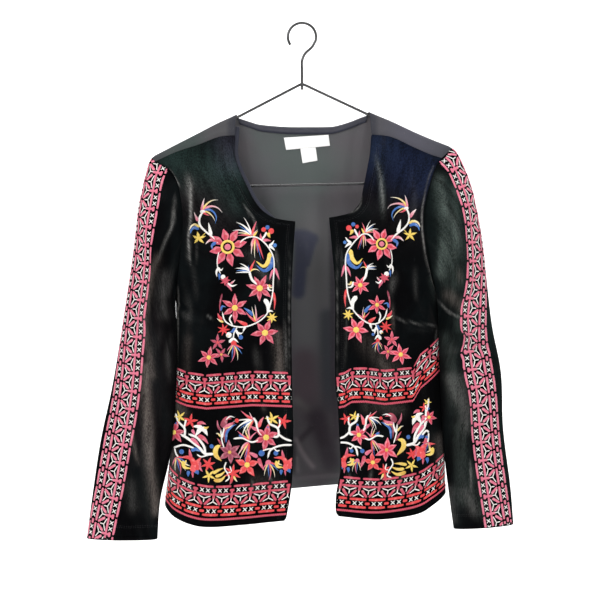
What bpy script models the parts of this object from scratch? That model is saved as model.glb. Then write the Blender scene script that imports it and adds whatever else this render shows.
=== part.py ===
# Velvet jacket hung on a black wire hanger.
# The tables are in millimetres and the model is in metres. The fronts face -Y, up is +Z,
# +X is the viewer's right, and the origin is the inside of the hook's top, where a rail holds it.
# Cloth is a thin wall: each panel is a grid of outer points between shared seam lines, and its
# inside lies one thickness behind along normals that neighbours share, so seams are mitred.

import math

import bpy
from mathutils import Vector

MM = 0.001
VELVET = 1.5
KNIT = 1.2
TAPE = 1.0
LABEL = 0.8
SEAM_GAP = 0.3
REST_GAP = 0.35

WIRE = 3.5
FRAME_TILT = math.radians(1.2)
ARM_SLOPE = 0.49
APEX_Z = -81.0
BAR_Z = -217.0
END_BEND = 25.0
HOOK_RADIUS = 19.0
EYE_RADIUS = 3.85
EYE_Z = -83.5
HOOK_TIP_TURN = math.radians(215)
HOOK_ARC_STOP = math.radians(196)
APEX_RADIUS = 6.0
# The wire from the hook's arc down to the eye, in millimetres.
HOOK_SWEEP = ((HOOK_RADIUS * 0.70, 0, -31), (4, 0, -40), (0, 0, -50), (0, 1.2, -62),
              (0, EYE_RADIUS, -74), (0, EYE_RADIUS, EYE_Z))
EYE_TAIL = 4.0

ARMHOLE_CELLS = 10
SIDE_CELLS = 14
NECK_CELLS = 9
EDGE_CELLS = ARMHOLE_CELLS + SIDE_CELLS - NECK_CELLS
FRONT_CELLS = 10
BACK_NECK_CELLS = 10
SLEEVE_CELLS = 24

# Depth of the fronts and the back behind their seams.
SIDE_ROUNDING = 2.4
FRONT_DEPTH = 47.0
BACK_DEPTH = 48.0
TOP_HOLD = 0.3
DRAPE_RATE = 0.35
# A sleeve hangs nearly flat: above 1 its edges are tight, below 1 its faces are full.
SLEEVE_EDGE = 1.25
SLEEVE_FACE = 0.95

# Lines of the body. Every row is x, y, z in millimetres.
BODY_LINES = {
    "right": {
        "ridge": ((-203, 0, -179.5), (-165, 0, -160.5), (-132, 0, -143.4), (-88.5, 0, -122.0)),
        "shoulder seam": ((-90.5, -9, -151), (-112, -8.5, -153), (-139, -7.5, -163), (-170, -6.5, -173),
                          (-198, -5.5, -185.5)),
        "yoke at armhole": ((-202, 4, -183), (-203, 0, -179.5), (-202, -2.5, -181), (-200, -4, -183),
                            (-198, -5.5, -185.5)),
        "neck": ((-90.5, -9, -151), (-91.2, -13, -175), (-85, -17, -197), (-75, -21, -219),
                 (-66, -24, -237), (-55, -26.5, -252), (-41, -28, -262), (-28, -29, -266),
                 (-9.6, -30, -268.5)),
        "front edge": ((-9.6, -30, -268.5), (-13.3, -33, -325), (-14.9, -37, -381), (-14, -41, -473),
                       (-12.4, -44, -543), (-14, -46, -610), (-20.7, -47, -656), (-23.7, -47, -663)),
        "armhole front": ((-198, -5.5, -185.5), (-181, -12, -196), (-167, -20, -217), (-159.5, -29, -262),
                          (-161, -30, -304), (-166.5, -20, -345), (-171, 0, -368)),
        "armhole back": ((-202, 4, -183), (-187, 12, -197), (-173, 22, -222), (-166, 31, -262),
                         (-166, 31, -304), (-168.5, 21, -345), (-171, 0, -368)),
        "side seam": ((-171, 0, -368), (-169.8, 0, -400), (-170, 0, -470), (-176, 0, -560), (-185, 0, -646)),
        "hem": ((-23.7, -663), (-82, -669), (-126, -672.5), (-150, -669), (-170, -661), (-181, -652),
                (-185, -646)),
    },
    "left": {
        "ridge": ((203, 0, -166.5), (181, 0, -158), (159, 0, -149), (116, 0, -130.2), (90, 0, -118.3)),
        "shoulder seam": ((94, -9, -150), (120, -8.5, -153), (151, -8, -167), (172, -7.5, -176),
                          (188, -7, -181)),
        "yoke at armhole": ((202, 4, -170), (203, 0, -166.5), (200, -3, -169.5), (195, -5, -174.5),
                            (188, -7, -181)),
        "neck": ((94, -9, -150), (91.5, -13, -177), (86.5, -18, -204), (82.5, -21, -223), (79.5, -24, -238),
                 (74, -26, -248.5), (64, -28, -257), (50, -29, -261), (36.6, -30, -263.5)),
        "front edge": ((36.6, -30, -263.5), (40.8, -33, -307), (44.5, -36, -362), (44.3, -41, -473),
                       (48, -43, -515), (50.4, -45, -565), (51.3, -46, -597), (46, -47, -626),
                       (45, -47, -650), (48.7, -47, -657)),
        "armhole front": ((188, -7, -181), (180, -12, -194), (170, -20, -224), (162.5, -28, -262),
                          (165, -29, -298), (172, -20, -336), (182, 0, -368)),
        "armhole back": ((202, 4, -170), (190, 12, -188), (178, 22, -218), (170, 31, -262),
                         (171, 30, -304), (176, 20, -342), (182, 0, -368)),
        "side seam": ((182, 0, -368), (184.5, 0, -400), (186.5, 0, -454), (190, 0, -540), (194, 0, -631)),
        "hem": ((48.7, -657), (97, -661.5), (136, -658.5), (158, -654), (174, -645), (188, -636),
                (194, -631)),
    },
}
BACK_NECK = ((-88, 5.4, -125.8), (-70, 10, -131), (-56, 12, -134.5), (-23, 15, -137), (7, 16, -137.2),
             (38, 15, -137), (51, 13, -135), (65, 10, -131), (78, 9, -126), (89.5, 5.4, -122.2))
# Where the shoulder strip's neck edge bends: its share of the way in x, then its step in y and z.
YOKE_NECK_SHARE = 0.3
YOKE_NECK_STEP = (-5.4, -4.0)
BACK_HEM_RISE = (-646, -636, -627, -624, -625, -628, -631)

# Rings of a sleeve from shoulder to cuff: outer x and z, inner x and z, half depth, forward swing.
SLEEVE_RINGS = {
    "right": ((-212, -199, -172.5, -376, 30, 0), (-220, -247, -172, -392, 29, -1),
              (-227, -311, -170.5, -418, 27, -3), (-240, -400, -170, -458, 25, -6),
              (-254, -485, -173, -520, 23, -8), (-270, -560, -179, -582, 21, -9),
              (-281, -630, -190, -640, 19, -9), (-289, -692, -194, -693, 17, -10)),
    "left": ((217, -181, 184, -377, 30, 0), (229, -222, 185.5, -392, 29, -1),
             (242, -292, 186.5, -416, 27, -3), (254, -400, 187, -458, 25, -6),
             (267, -470, 189.5, -520, 23, -8), (270, -545, 192, -575, 21, -9),
             (280, -622, 197.5, -634, 19, -9), (284, -673, 203.5, -679, 17, -10)),
}
# Shares of a sleeve's length at those rings, and how far and how closely its top keeps to the armhole.
SLEEVE_STOPS = (0.035, 0.115, 0.22, 0.38, 0.54, 0.70, 0.85, 1.0)
SLEEVE_CLING_LENGTH = 0.13
SLEEVE_CLING = 0.75

# Large soft folds of the body: top x and z, foot x and z, half width, forward rise.
FRONT_FOLDS = {
    "right": ((-152, -218, -149, -330, 11, 5.0), (-130, -230, -128, -420, 13, -3.0),
              (-60, -300, -72, -600, 22, 4.0), (-120, -420, -126, -672, 17, -4.0),
              (-45, -560, -50, -668, 14, -3.0)),
    "left": ((112, -165, 109, -262, 10, 5.0), (126, -200, 118, -470, 14, -4.0),
             (150, -230, 152, -360, 11, 4.0), (84, -330, 96, -600, 22, 4.0),
             (150, -430, 152, -655, 16, -4.0)),
}
BACK_FOLDS = ((-95, -200, -70, -600, 24, 5.0), (-30, -250, -22, -624, 20, -5.0),
              (45, -220, 40, -626, 22, 5.0), (110, -200, 128, -610, 24, -5.0),
              (-135, -300, -128, -640, 16, -4.0))

# Large soft folds of a sleeve: turn from the outer edge over the front, the share of the length
# where it starts and ends, the turn at its end, half width as a turn, outward rise.
SLEEVE_FOLDS = {
    "right": ((0.27, 0.02, 0.34, 0.20, 0.035, 5.0), (0.36, 0.00, 0.24, 0.31, 0.030, -4.0),
              (0.33, 0.36, 0.95, 0.29, 0.045, 4.0), (0.70, 0.10, 0.90, 0.66, 0.050, -4.0)),
    "left": ((0.40, 0.30, 0.44, 0.13, 0.030, -6.0), (0.34, 0.24, 0.40, 0.20, 0.030, 4.5),
             (0.24, 0.02, 0.26, 0.20, 0.035, 4.0), (0.32, 0.48, 0.95, 0.29, 0.045, 4.0),
             (0.70, 0.10, 0.90, 0.66, 0.050, -4.0)),
}

FACING_DROP = 9.5
NECK_FACING_SHOWS = 8.5
NECK_FACING_UNDER = 6.0
NECK_FACING_CELLS = 8
MAIN_LABEL = ((-24.5, -151.5), (36, -147.7), (38, -162), (-21.5, -167.5))
SIZE_LABEL = ((-2, -166.2), (18.5, -164.5), (21, -182), (1, -185.5))
LABEL_CELLS = (6, 2)

FINISHES = {
    "velvet": ((0.012, 0.014, 0.016), 0.75, 0.0),
    "knit": ((0.07, 0.07, 0.075), 0.9, 0.0),
    "tape": ((0.035, 0.035, 0.05), 0.85, 0.0),
    "label": ((0.88, 0.87, 0.85), 0.7, 0.0),
    "wire": ((0.02, 0.02, 0.022), 0.3, 0.6),
}


def clear_scene():
    for item in list(bpy.data.objects):
        bpy.data.objects.remove(item, do_unlink=True)


def make_finish(name):
    colour, roughness, metallic = FINISHES[name]
    finish = bpy.data.materials.new(name)
    finish.use_nodes = True
    shader = finish.node_tree.nodes["Principled BSDF"]
    shader.inputs["Base Color"].default_value = (*colour, 1.0)
    shader.inputs["Roughness"].default_value = roughness
    shader.inputs["Metallic"].default_value = metallic
    return finish


# Points on a smooth line through a table's rows, at the given shares of its length.
def along(rows, shares):
    rows = [Vector(row) for row in rows]
    ends = [2 * rows[0] - rows[1]] + rows + [2 * rows[-1] - rows[-2]]
    steps = 12
    dense = []
    for index in range(1, len(ends) - 2):
        before, start, stop, after = ends[index - 1:index + 3]
        for step in range(steps):
            t = step / steps
            turn = (stop - before) * 0.5
            turn_after = (after - start) * 0.5
            dense.append(start * (2 * t**3 - 3 * t**2 + 1) + turn * (t**3 - 2 * t**2 + t)
                         + stop * (3 * t**2 - 2 * t**3) + turn_after * (t**3 - t**2))
    dense.append(rows[-1])
    lengths = [0.0]
    for first, second in zip(dense, dense[1:]):
        lengths.append(lengths[-1] + (second - first).length)
    points = []
    for share in shares:
        target = min(max(share, 0.0), 1.0) * lengths[-1]
        index = 1
        while index < len(lengths) - 1 and lengths[index] < target:
            index += 1
        span = lengths[index] - lengths[index - 1]
        points.append(dense[index - 1].lerp(dense[index], (target - lengths[index - 1]) / span))
    return points


def even(cells):
    return [index / cells for index in range(cells + 1)]


# A grid of points between four boundary lines that share their corners.
def between(top, bottom, left, right, across, down):
    grid = []
    for i, v in enumerate(down):
        row = []
        for j, u in enumerate(across):
            point = top[j] * (1 - v) + bottom[j] * v + left[i] * (1 - u) + right[i] * u
            corners = (top[0] * (1 - u) + top[-1] * u) * (1 - v) + (bottom[0] * (1 - u) + bottom[-1] * u) * v
            row.append(point - corners)
        row[0], row[-1] = left[i].copy(), right[i].copy()
        grid.append(row)
    grid[0] = [point.copy() for point in top]
    grid[-1] = [point.copy() for point in bottom]
    return grid


# Columns of a front stand closer near its side, where the cloth turns away.
def front_shares():
    return [1 - (1 - share)**1.35 for share in even(FRONT_CELLS)]


# The same columns counted from the armhole to the neck.
def shoulder_shares():
    return [1 - share for share in front_shares()][::-1]


def rounded(share):
    return max(0.0, 1 - abs(share)**SIDE_ROUNDING)**(1 / SIDE_ROUNDING)


def soft_step(value):
    value = min(max(value, 0.0), 1.0)
    return value * value * (3 - 2 * value)


# How far the listed folds push the cloth forward at a place in the front view.
def fold_rise(folds, x, z):
    rise = 0.0
    for top_x, top_z, foot_x, foot_z, width, height in folds:
        run = Vector((foot_x - top_x, foot_z - top_z))
        place = Vector((x - top_x, z - top_z))
        share = place.dot(run) / run.length_squared
        aside = (place - run * share).length
        fade = soft_step(share * 5 + 0.5) * soft_step((1 - share) * 5 + 0.5)
        rise += height * math.exp(-(aside / width)**2) * fade
    return rise


# How far the cloth stands out from the hanger's plane: it follows the top line at first and
# reaches its full depth well above the hem. Near an edge it meets that edge's own depth.
def drape(grid, across, down, depths, edges):
    tops = [point.y for point in grid[0]]
    sides = [[row[0].y for row in grid], [row[-1].y for row in grid]]
    for i, v in enumerate(down):
        hold = 1 - soft_step(v / TOP_HOLD)
        grown = (1 - math.exp(-v / DRAPE_RATE)) / (1 - math.exp(-1 / DRAPE_RATE))
        for j, u in enumerate(across):
            depth = tops[j] * hold + depths[j] * grown
            for side, share in ((0, u), (1, 1 - u)):
                base = tops[-side] * hold + depths[-side] * grown
                depth += (sides[side][i] - base) * max(0.0, 1 - share / edges[side])**2
            grid[i][j].y = depth


# Rows near the neck's corner are close to the armhole's foot, so both lines keep equal counts.
def front_grid(side):
    lines = BODY_LINES[side]
    across = front_shares()
    down = even(ARMHOLE_CELLS + SIDE_CELLS)
    inner = along(lines["neck"], even(NECK_CELLS)) + along(lines["front edge"], even(EDGE_CELLS))[1:]
    outer = along(lines["armhole front"], even(ARMHOLE_CELLS))
    outer += along(lines["side seam"], even(SIDE_CELLS))[1:]
    top = along(lines["shoulder seam"], across)
    flat_hem = along([(x, 0, z) for x, z in lines["hem"]], across)
    depths = [-FRONT_DEPTH * rounded(share) for share in across]
    bottom = [Vector((point.x, depth, point.z)) for point, depth in zip(flat_hem, depths)]
    grid = between(top, bottom, inner, outer, across, down)
    drape(grid, across, down, depths, (1.0, 0.45))
    for i, v in enumerate(down):
        for j, u in enumerate(across):
            point = grid[i][j]
            fade = soft_step(v * 6) * soft_step((1 - u) * 5)
            point.y -= fold_rise(FRONT_FOLDS[side], point.x, point.z) * fade
    return grid


# The back reaches from its hem to just behind the ridge, and its middle ends at the neck edge.
def back_grid():
    right, left = BODY_LINES["right"], BODY_LINES["left"]
    down = even(ARMHOLE_CELLS + SIDE_CELLS)
    top = behind_ridge("right") + along(BACK_NECK, even(BACK_NECK_CELLS))[1:-1] + behind_ridge("left")[::-1]
    width = top[-1].x - top[0].x
    across = [(point.x - top[0].x) / width for point in top]
    sides = []
    for lines in (right, left):
        sides.append(along(lines["armhole back"], even(ARMHOLE_CELLS))
                     + along(lines["side seam"], even(SIDE_CELLS))[1:])
    first, last = sides[0][-1], sides[1][-1]
    heights = along([(index, 0, z) for index, z in enumerate(BACK_HEM_RISE)], across)
    depths = [BACK_DEPTH * rounded(2 * share - 1) for share in across]
    bottom = []
    for share, height, depth in zip(across, heights, depths):
        bottom.append(Vector((first.x + (last.x - first.x) * share, depth, height.z)))
    grid = between(top, bottom, sides[0], sides[1], across, down)
    drape(grid, across, down, depths, (0.22, 0.22))
    for i, v in enumerate(down):
        for j, u in enumerate(across):
            point = grid[i][j]
            fade = soft_step(v * 6) * soft_step(u * 8) * soft_step((1 - u) * 8)
            point.y += fold_rise(BACK_FOLDS, point.x, point.z) * fade
    return grid


# The line where the shoulder strip meets the back, a little below and behind the ridge.
def behind_ridge(side):
    lines = BODY_LINES[side]
    points = along(lines["ridge"], shoulder_shares())
    start = Vector(lines["yoke at armhole"][0])
    stop = Vector(BACK_NECK[0] if side == "right" else BACK_NECK[-1])
    start_drop, stop_drop = points[0] - start, points[-1] - stop
    return [point - start_drop * (1 - share) - stop_drop * share
            for point, share in zip(points, shoulder_shares())]


# The shoulder strip of the back, from behind the ridge over the wire to the seam in front.
def yoke_grid(side):
    lines = BODY_LINES[side]
    shares = shoulder_shares()
    behind = behind_ridge(side)
    ridge = along(lines["ridge"], shares)
    seam = along(lines["shoulder seam"], front_shares())[::-1]
    at_armhole = [Vector(row) for row in lines["yoke at armhole"]]
    bend = ridge[-1] + Vector((0, *YOKE_NECK_STEP))
    bend.x = ridge[-1].x + (seam[-1].x - ridge[-1].x) * YOKE_NECK_SHARE
    at_neck = [behind[-1], ridge[-1], bend, bend.lerp(seam[-1], 0.5), seam[-1]]
    rows = [behind, ridge]
    for level in (2, 3):
        row = []
        for index, share in enumerate(shares):
            start = at_armhole[level] - at_armhole[1].lerp(at_armhole[4], level / 4)
            stop = at_neck[level] - at_neck[1].lerp(at_neck[4], level / 4)
            row.append(ridge[index].lerp(seam[index], level / 4) + start * (1 - share) + stop * share)
        rows.append(row)
    rows.append(seam)
    return rows


def armhole_ring(side):
    lines = BODY_LINES[side]
    front = along(lines["armhole front"], even(ARMHOLE_CELLS))
    back = along(lines["armhole back"], even(ARMHOLE_CELLS))
    over = [Vector(row) for row in lines["yoke at armhole"]]
    return over[1:] + front[1:] + back[-2::-1]


# Rings run from the shoulder's top over the front to the underarm and up the back.
def sleeve_grid(side):
    first = armhole_ring(side)
    count = len(first)
    half = 4 - 1 + ARMHOLE_CELLS
    turns = [index / half * 0.5 if index <= half else 0.5 + (index - half) / (count - half) * 0.5
             for index in range(count)]
    levels = even(SLEEVE_CELLS)
    outer_line = [(row[0], row[4], row[1]) for row in SLEEVE_RINGS[side]]
    inner_line = [(row[2], row[5], row[3]) for row in SLEEVE_RINGS[side]]
    stops = SLEEVE_STOPS
    rings = [first]
    for level in levels[1:]:
        index = 0
        while index < len(stops) - 2 and stops[index + 1] < level:
            index += 1
        share = (level - stops[index]) / (stops[index + 1] - stops[index])
        before, start, stop, after = (max(index - 1, 0), index, index + 1, min(index + 2, len(stops) - 1))
        spot = []
        for line in (outer_line, inner_line):
            a, b, c, d = (Vector(line[k]) for k in (before, start, stop, after))
            turn, turn_after = (c - a) * 0.5, (d - b) * 0.5
            t = share
            spot.append(b * (2 * t**3 - 3 * t**2 + 1) + turn * (t**3 - 2 * t**2 + t)
                        + c * (3 * t**2 - 2 * t**3) + turn_after * (t**3 - t**2))
        outer, inner = spot
        depth, swing = outer.y, inner.y
        outer, inner = Vector((outer.x, swing, outer.z)), Vector((inner.x, swing, inner.z))
        middle = (outer + inner) / 2
        ring = []
        for turn in turns:
            angle = turn * 2 * math.pi
            reach = abs(math.cos(angle))**SLEEVE_EDGE * math.copysign(1, math.cos(angle))
            bulge = abs(math.sin(angle))**SLEEVE_FACE * math.copysign(1, math.sin(angle))
            point = middle + (outer - middle) * reach + Vector((0, -depth * bulge, 0))
            ring.append(point)
        cling = 1 - soft_step(level / SLEEVE_CLING_LENGTH)
        if cling > 0:
            ring = [point.lerp(first[k], cling * SLEEVE_CLING) for k, point in enumerate(ring)]
        rings.append(ring)
    for i, level in enumerate(levels):
        ring = rings[i]
        middle = sum(ring, Vector()) / count
        for k, turn in enumerate(turns):
            rise = 0.0
            for turn_from, start, stop, turn_to, width, height in SLEEVE_FOLDS[side]:
                share = (level - start) / (stop - start)
                here = turn_from + (turn_to - turn_from) * min(max(share, 0), 1)
                away = (turn - here + 0.5) % 1 - 0.5
                fade = soft_step(share * 5 + 0.5) * soft_step((1 - share) * 5 + 0.5)
                rise += height * math.exp(-(away / width)**2) * fade
            rise *= soft_step(level * 12) * soft_step(abs(turn - 0.5) * 8)
            outward = ring[k] - middle
            outward.z = 0
            if outward.length > 0:
                ring[k] = ring[k] + outward.normalized() * rise
    return rings


def grid_faces(rows, columns, closed=False, first=0):
    faces = []
    span = columns if closed else columns - 1
    for i in range(rows - 1):
        for j in range(span):
            k = (j + 1) % columns
            faces.append((first + i * columns + j, first + (i + 1) * columns + j,
                          first + (i + 1) * columns + k, first + i * columns + k))
    return faces


def from_grid(grid, closed=False):
    points = [point.copy() for row in grid for point in row]
    return points, grid_faces(len(grid), len(grid[0]), closed)


# Joins sheets that meet point to point into one sheet.
def merge(sheets):
    points, faces, known = [], [], {}
    for sheet_points, sheet_faces in sheets:
        indices = []
        for point in sheet_points:
            spot = place_key(point)
            if spot not in known:
                known[spot] = len(points)
                points.append(point.copy())
            indices.append(known[spot])
        faces += [tuple(indices[index] for index in face) for face in sheet_faces]
    return points, faces


def place_key(point):
    return tuple(round(value * 50) for value in point)


def face_normal(points, face):
    a, b, c, d = (points[index] for index in face)
    return (c - a).cross(d - b)


def turned(sheet):
    return sheet[0], [tuple(reversed(face)) for face in sheet[1]]


# Normals of every sheet, added up where sheets share a point, so a seam has one mitre.
def shared_normals(sheets, down_from):
    sums = {}
    for points, faces in sheets:
        for face in faces:
            normal = face_normal(points, face)
            for index in face:
                spot = place_key(points[index])
                sums[spot] = sums.get(spot, Vector()) + normal
    result = []
    for points, faces in sheets:
        normals = []
        for point in points:
            normal = sums[place_key(point)].normalized()
            if place_key(point) in down_from:
                weight = down_from[place_key(point)]
                normal = (normal * (1 - weight) + Vector((0, 0, -1)) * weight).normalized()
            normals.append(normal)
        result.append(normals)
    return result


def rim_edges(faces):
    edges = {}
    for face in faces:
        for start, stop in zip(face, face[1:] + face[:1]):
            edges[(start, stop)] = True
    return [edge for edge in edges if (edge[1], edge[0]) not in edges]


# Moves the rim of a sheet in by half a seam gap along the sheet. At the underarm, where the sleeve
# hangs against the body, the two draw apart sideways.
def pull_in(points, faces, normals, amount, apart, apart_way):
    moves = {}
    middles = {}
    for face in faces:
        middle = sum((points[index] for index in face), Vector()) / len(face)
        for start, stop in zip(face, face[1:] + face[:1]):
            middles[(start, stop)] = middle
    for start, stop in rim_edges(faces):
        line = (points[stop] - points[start]).normalized()
        inward = middles[(start, stop)] - points[start]
        inward = (inward - line * inward.dot(line)).normalized()
        for index in (start, stop):
            aside = normals[index].cross(line).normalized()
            moves.setdefault(index, []).append(aside * math.copysign(1, aside.dot(inward)))
    result = [point.copy() for point in points]
    for index, directions in moves.items():
        if apart.get(place_key(points[index]), 0) > 0.1:
            total = Vector((apart_way * math.copysign(1, points[index].x), 0, 0))
            if apart_way < 0 and abs(points[index].y) < 0.01:
                total.y = math.copysign(1, sum(direction.y for direction in directions))
        elif len(directions) == 2:
            total = directions[0] + directions[1]
            total = total / max(0.6, 1 + directions[0].dot(directions[1]))
        else:
            total = directions[0]
        result[index] += total * amount
    return result


# Closes a sheet into a wall of the given thickness behind its outer face.
def make_wall(name, sheet, normals, thickness, finish, home, pull=0.0, apart=None, apart_way=0):
    points, faces = sheet
    outer = pull_in(points, faces, normals, pull, apart or {}, apart_way)
    inner = [point - normal * thickness for point, normal in zip(outer, normals)]
    count = len(outer)
    solid = list(faces) + [tuple(index + count for index in reversed(face)) for face in faces]
    for start, stop in rim_edges(faces):
        # Neighbours split a shared rim along the same diagonal.
        if place_key(points[start]) < place_key(points[stop]):
            solid += [(stop, start, stop + count), (start, start + count, stop + count)]
        else:
            solid += [(stop, start, start + count), (stop, start + count, stop + count)]
    return add_mesh(name, outer + inner, solid, finish, home)


def add_mesh(name, points, faces, finish, home):
    mesh = bpy.data.meshes.new(name)
    mesh.from_pydata([tuple(point * MM) for point in points], [], faces)
    mesh.update()
    mesh.materials.append(finish)
    mesh.shade_smooth()
    mesh.set_sharp_from_angle(angle=math.radians(50))
    item = bpy.data.objects.new(name, mesh)
    home.objects.link(item)
    return item


def add_wire(name, points, closed, finish, home):
    curve = bpy.data.curves.new(name, "CURVE")
    curve.dimensions = "3D"
    curve.bevel_depth = WIRE / 2 * MM
    curve.bevel_resolution = 2
    curve.use_fill_caps = not closed
    spline = curve.splines.new("POLY")
    spline.points.add(len(points) - 1)
    for spot, point in zip(spline.points, points):
        spot.co = (*(point * MM), 1.0)
    spline.use_cyclic_u = closed
    curve.materials.append(finish)
    item = bpy.data.objects.new(name, curve)
    home.objects.link(item)
    return item


# Points of an arc in a plane given by two unit directions.
def arc(centre, first, second, radius, start, stop, steps):
    points = []
    for step in range(steps + 1):
        angle = start + (stop - start) * step / steps
        points.append(centre + first * (radius * math.cos(angle)) + second * (radius * math.sin(angle)))
    return points


# The wire triangle: two sloped arms, rounded ends and the bar, tilted a little about its apex.
def hanger_frame(finish, home):
    slope = math.atan(ARM_SLOPE)
    reach = (APEX_Z - BAR_Z - END_BEND - END_BEND / math.cos(slope)) / ARM_SLOPE
    along_x, along_z = Vector((1, 0, 0)), Vector((0, 0, 1))
    centre = Vector((reach, 0, BAR_Z + END_BEND))
    apex_centre = Vector((0, 0, APEX_Z - APEX_RADIUS))
    half = arc(apex_centre, along_x, along_z, APEX_RADIUS, math.pi / 2, math.pi / 2 - slope, 4)
    half += arc(centre, along_x, along_z, END_BEND, math.pi / 2 - slope, -math.pi / 2, 12)
    other = [Vector((-point.x, 0, point.z)) for point in half[1:]][::-1]
    points = []
    for point in half + other:
        x, z = point.x, point.z - APEX_Z
        points.append(Vector((x * math.cos(FRAME_TILT) - z * math.sin(FRAME_TILT), 0,
                              APEX_Z + x * math.sin(FRAME_TILT) + z * math.cos(FRAME_TILT))))
    return add_wire("hanger_frame", points, True, finish, home)


# The hook turns over the rail, its stem comes down behind the apex and curls up in front of it.
def hanger_hook(finish, home):
    along_x, along_y, along_z = Vector((1, 0, 0)), Vector((0, 1, 0)), Vector((0, 0, 1))
    centre = Vector((0, 0, WIRE / 2 - HOOK_RADIUS))
    tip = -math.pi / 2 + (math.radians(270) - HOOK_TIP_TURN)
    points = arc(centre, -along_x, along_z, HOOK_RADIUS, tip, HOOK_ARC_STOP, 20)
    # The arc ends at the +X side, and a sweep brings the wire back under the middle.
    points += along([tuple(points[-1]), *HOOK_SWEEP], even(16))[1:]
    points += arc(Vector((0, 0, EYE_Z)), along_y, -along_z, EYE_RADIUS, 0, math.pi, 8)[1:]
    points.append(Vector((0, -EYE_RADIUS, EYE_Z + EYE_TAIL)))
    return add_wire("hanger_hook", points, False, finish, home)


# Height of a grid's own surface in depth at a place in the front view.
def depth_at(grid, x, z):
    best = None
    for i in range(len(grid) - 1):
        for j in range(len(grid[0]) - 1):
            corners = (grid[i][j], grid[i + 1][j], grid[i + 1][j + 1], grid[i][j + 1])
            for a, b, c in ((corners[0], corners[1], corners[2]), (corners[0], corners[2], corners[3])):
                area = (b.x - a.x) * (c.z - a.z) - (c.x - a.x) * (b.z - a.z)
                if abs(area) < 1e-9:
                    continue
                s = ((x - a.x) * (c.z - a.z) - (c.x - a.x) * (z - a.z)) / area
                t = ((b.x - a.x) * (z - a.z) - (x - a.x) * (b.z - a.z)) / area
                if min(s, t, 1 - s - t) > -1e-6:
                    best = a.y + (b.y - a.y) * s + (c.y - a.y) * t
    return best


# A blank label lies on the inside of the back and follows it.
def add_label(name, corners, back, lift, finish, home):
    top_left, top_right, foot_right, foot_left = (Vector(corner) for corner in corners)
    across, down = even(LABEL_CELLS[0]), even(LABEL_CELLS[1])
    grid = []
    for v in down:
        row = []
        for u in across:
            spot = top_left.lerp(top_right, u).lerp(foot_left.lerp(foot_right, u), v)
            row.append(Vector((spot.x, depth_at(back, spot.x, spot.y) - lift, spot.y)))
        grid.append(row)
    sheet = from_grid(grid)
    if sum(face_normal(sheet[0], face).y for face in sheet[1]) > 0:
        sheet = turned(sheet)
    normals = shared_normals([sheet], {})[0]
    return make_wall(name, sheet, normals, LABEL, finish, home)


# The tape under the back neck edge, on the inside of the back.
def add_back_facing(back, normals_of, first, last, finish, home):
    rows = []
    for drop in (0.8, FACING_DROP * 0.5, FACING_DROP):
        row = []
        for j in range(first, last + 1):
            top, below = back[0][j], back[1][j]
            share = drop / (below - top).length
            normal = normals_of(top).lerp(normals_of(below), share).normalized()
            row.append(top.lerp(below, share) - normal * (KNIT + SEAM_GAP))
        rows.append(row)
    sheet = from_grid(rows)
    if sum(face_normal(sheet[0], face).y for face in sheet[1]) < 0:
        sheet = turned(sheet)
    normals = shared_normals([sheet], {})[0]
    return make_wall("facing_back_neck", sheet, normals, TAPE, finish, home)


# The turned-in strip inside one side's neck, which shows past the edge of the yoke and the velvet.
def add_neck_facing(yoke, front, normals_of, finish, home):
    edges = [(yoke[row][-1], yoke[row][-2]) for row in (2, 3)]
    edges += [(front[i][0], front[i][1]) for i in range(NECK_FACING_CELLS + 2)]
    last = len(edges) - 2
    rows = []
    for i in range(1, last + 1):
        edge, inside = edges[i]
        normal = normals_of(edge)
        line = (edges[i + 1][0] - edges[i - 1][0]).normalized()
        inward = inside - edge
        inward = inward - line * inward.dot(line)
        inward = (inward - normal * inward.dot(normal)).normalized()
        shows = NECK_FACING_SHOWS * soft_step((last - i) / 2.0 + 0.12)
        base = edge - normal * (VELVET + REST_GAP)
        rows.append([base + inward * NECK_FACING_UNDER, base, base - inward * shows * 0.5 - normal * 0.8,
                     base - inward * shows - normal * 2.4])
    sheet = from_grid(rows)
    if sum(face_normal(sheet[0], face).y for face in sheet[1]) > 0:
        sheet = turned(sheet)
    normals = shared_normals([sheet], {})[0]
    return make_wall("facing_right", sheet, normals, TAPE, finish, home)


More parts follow.
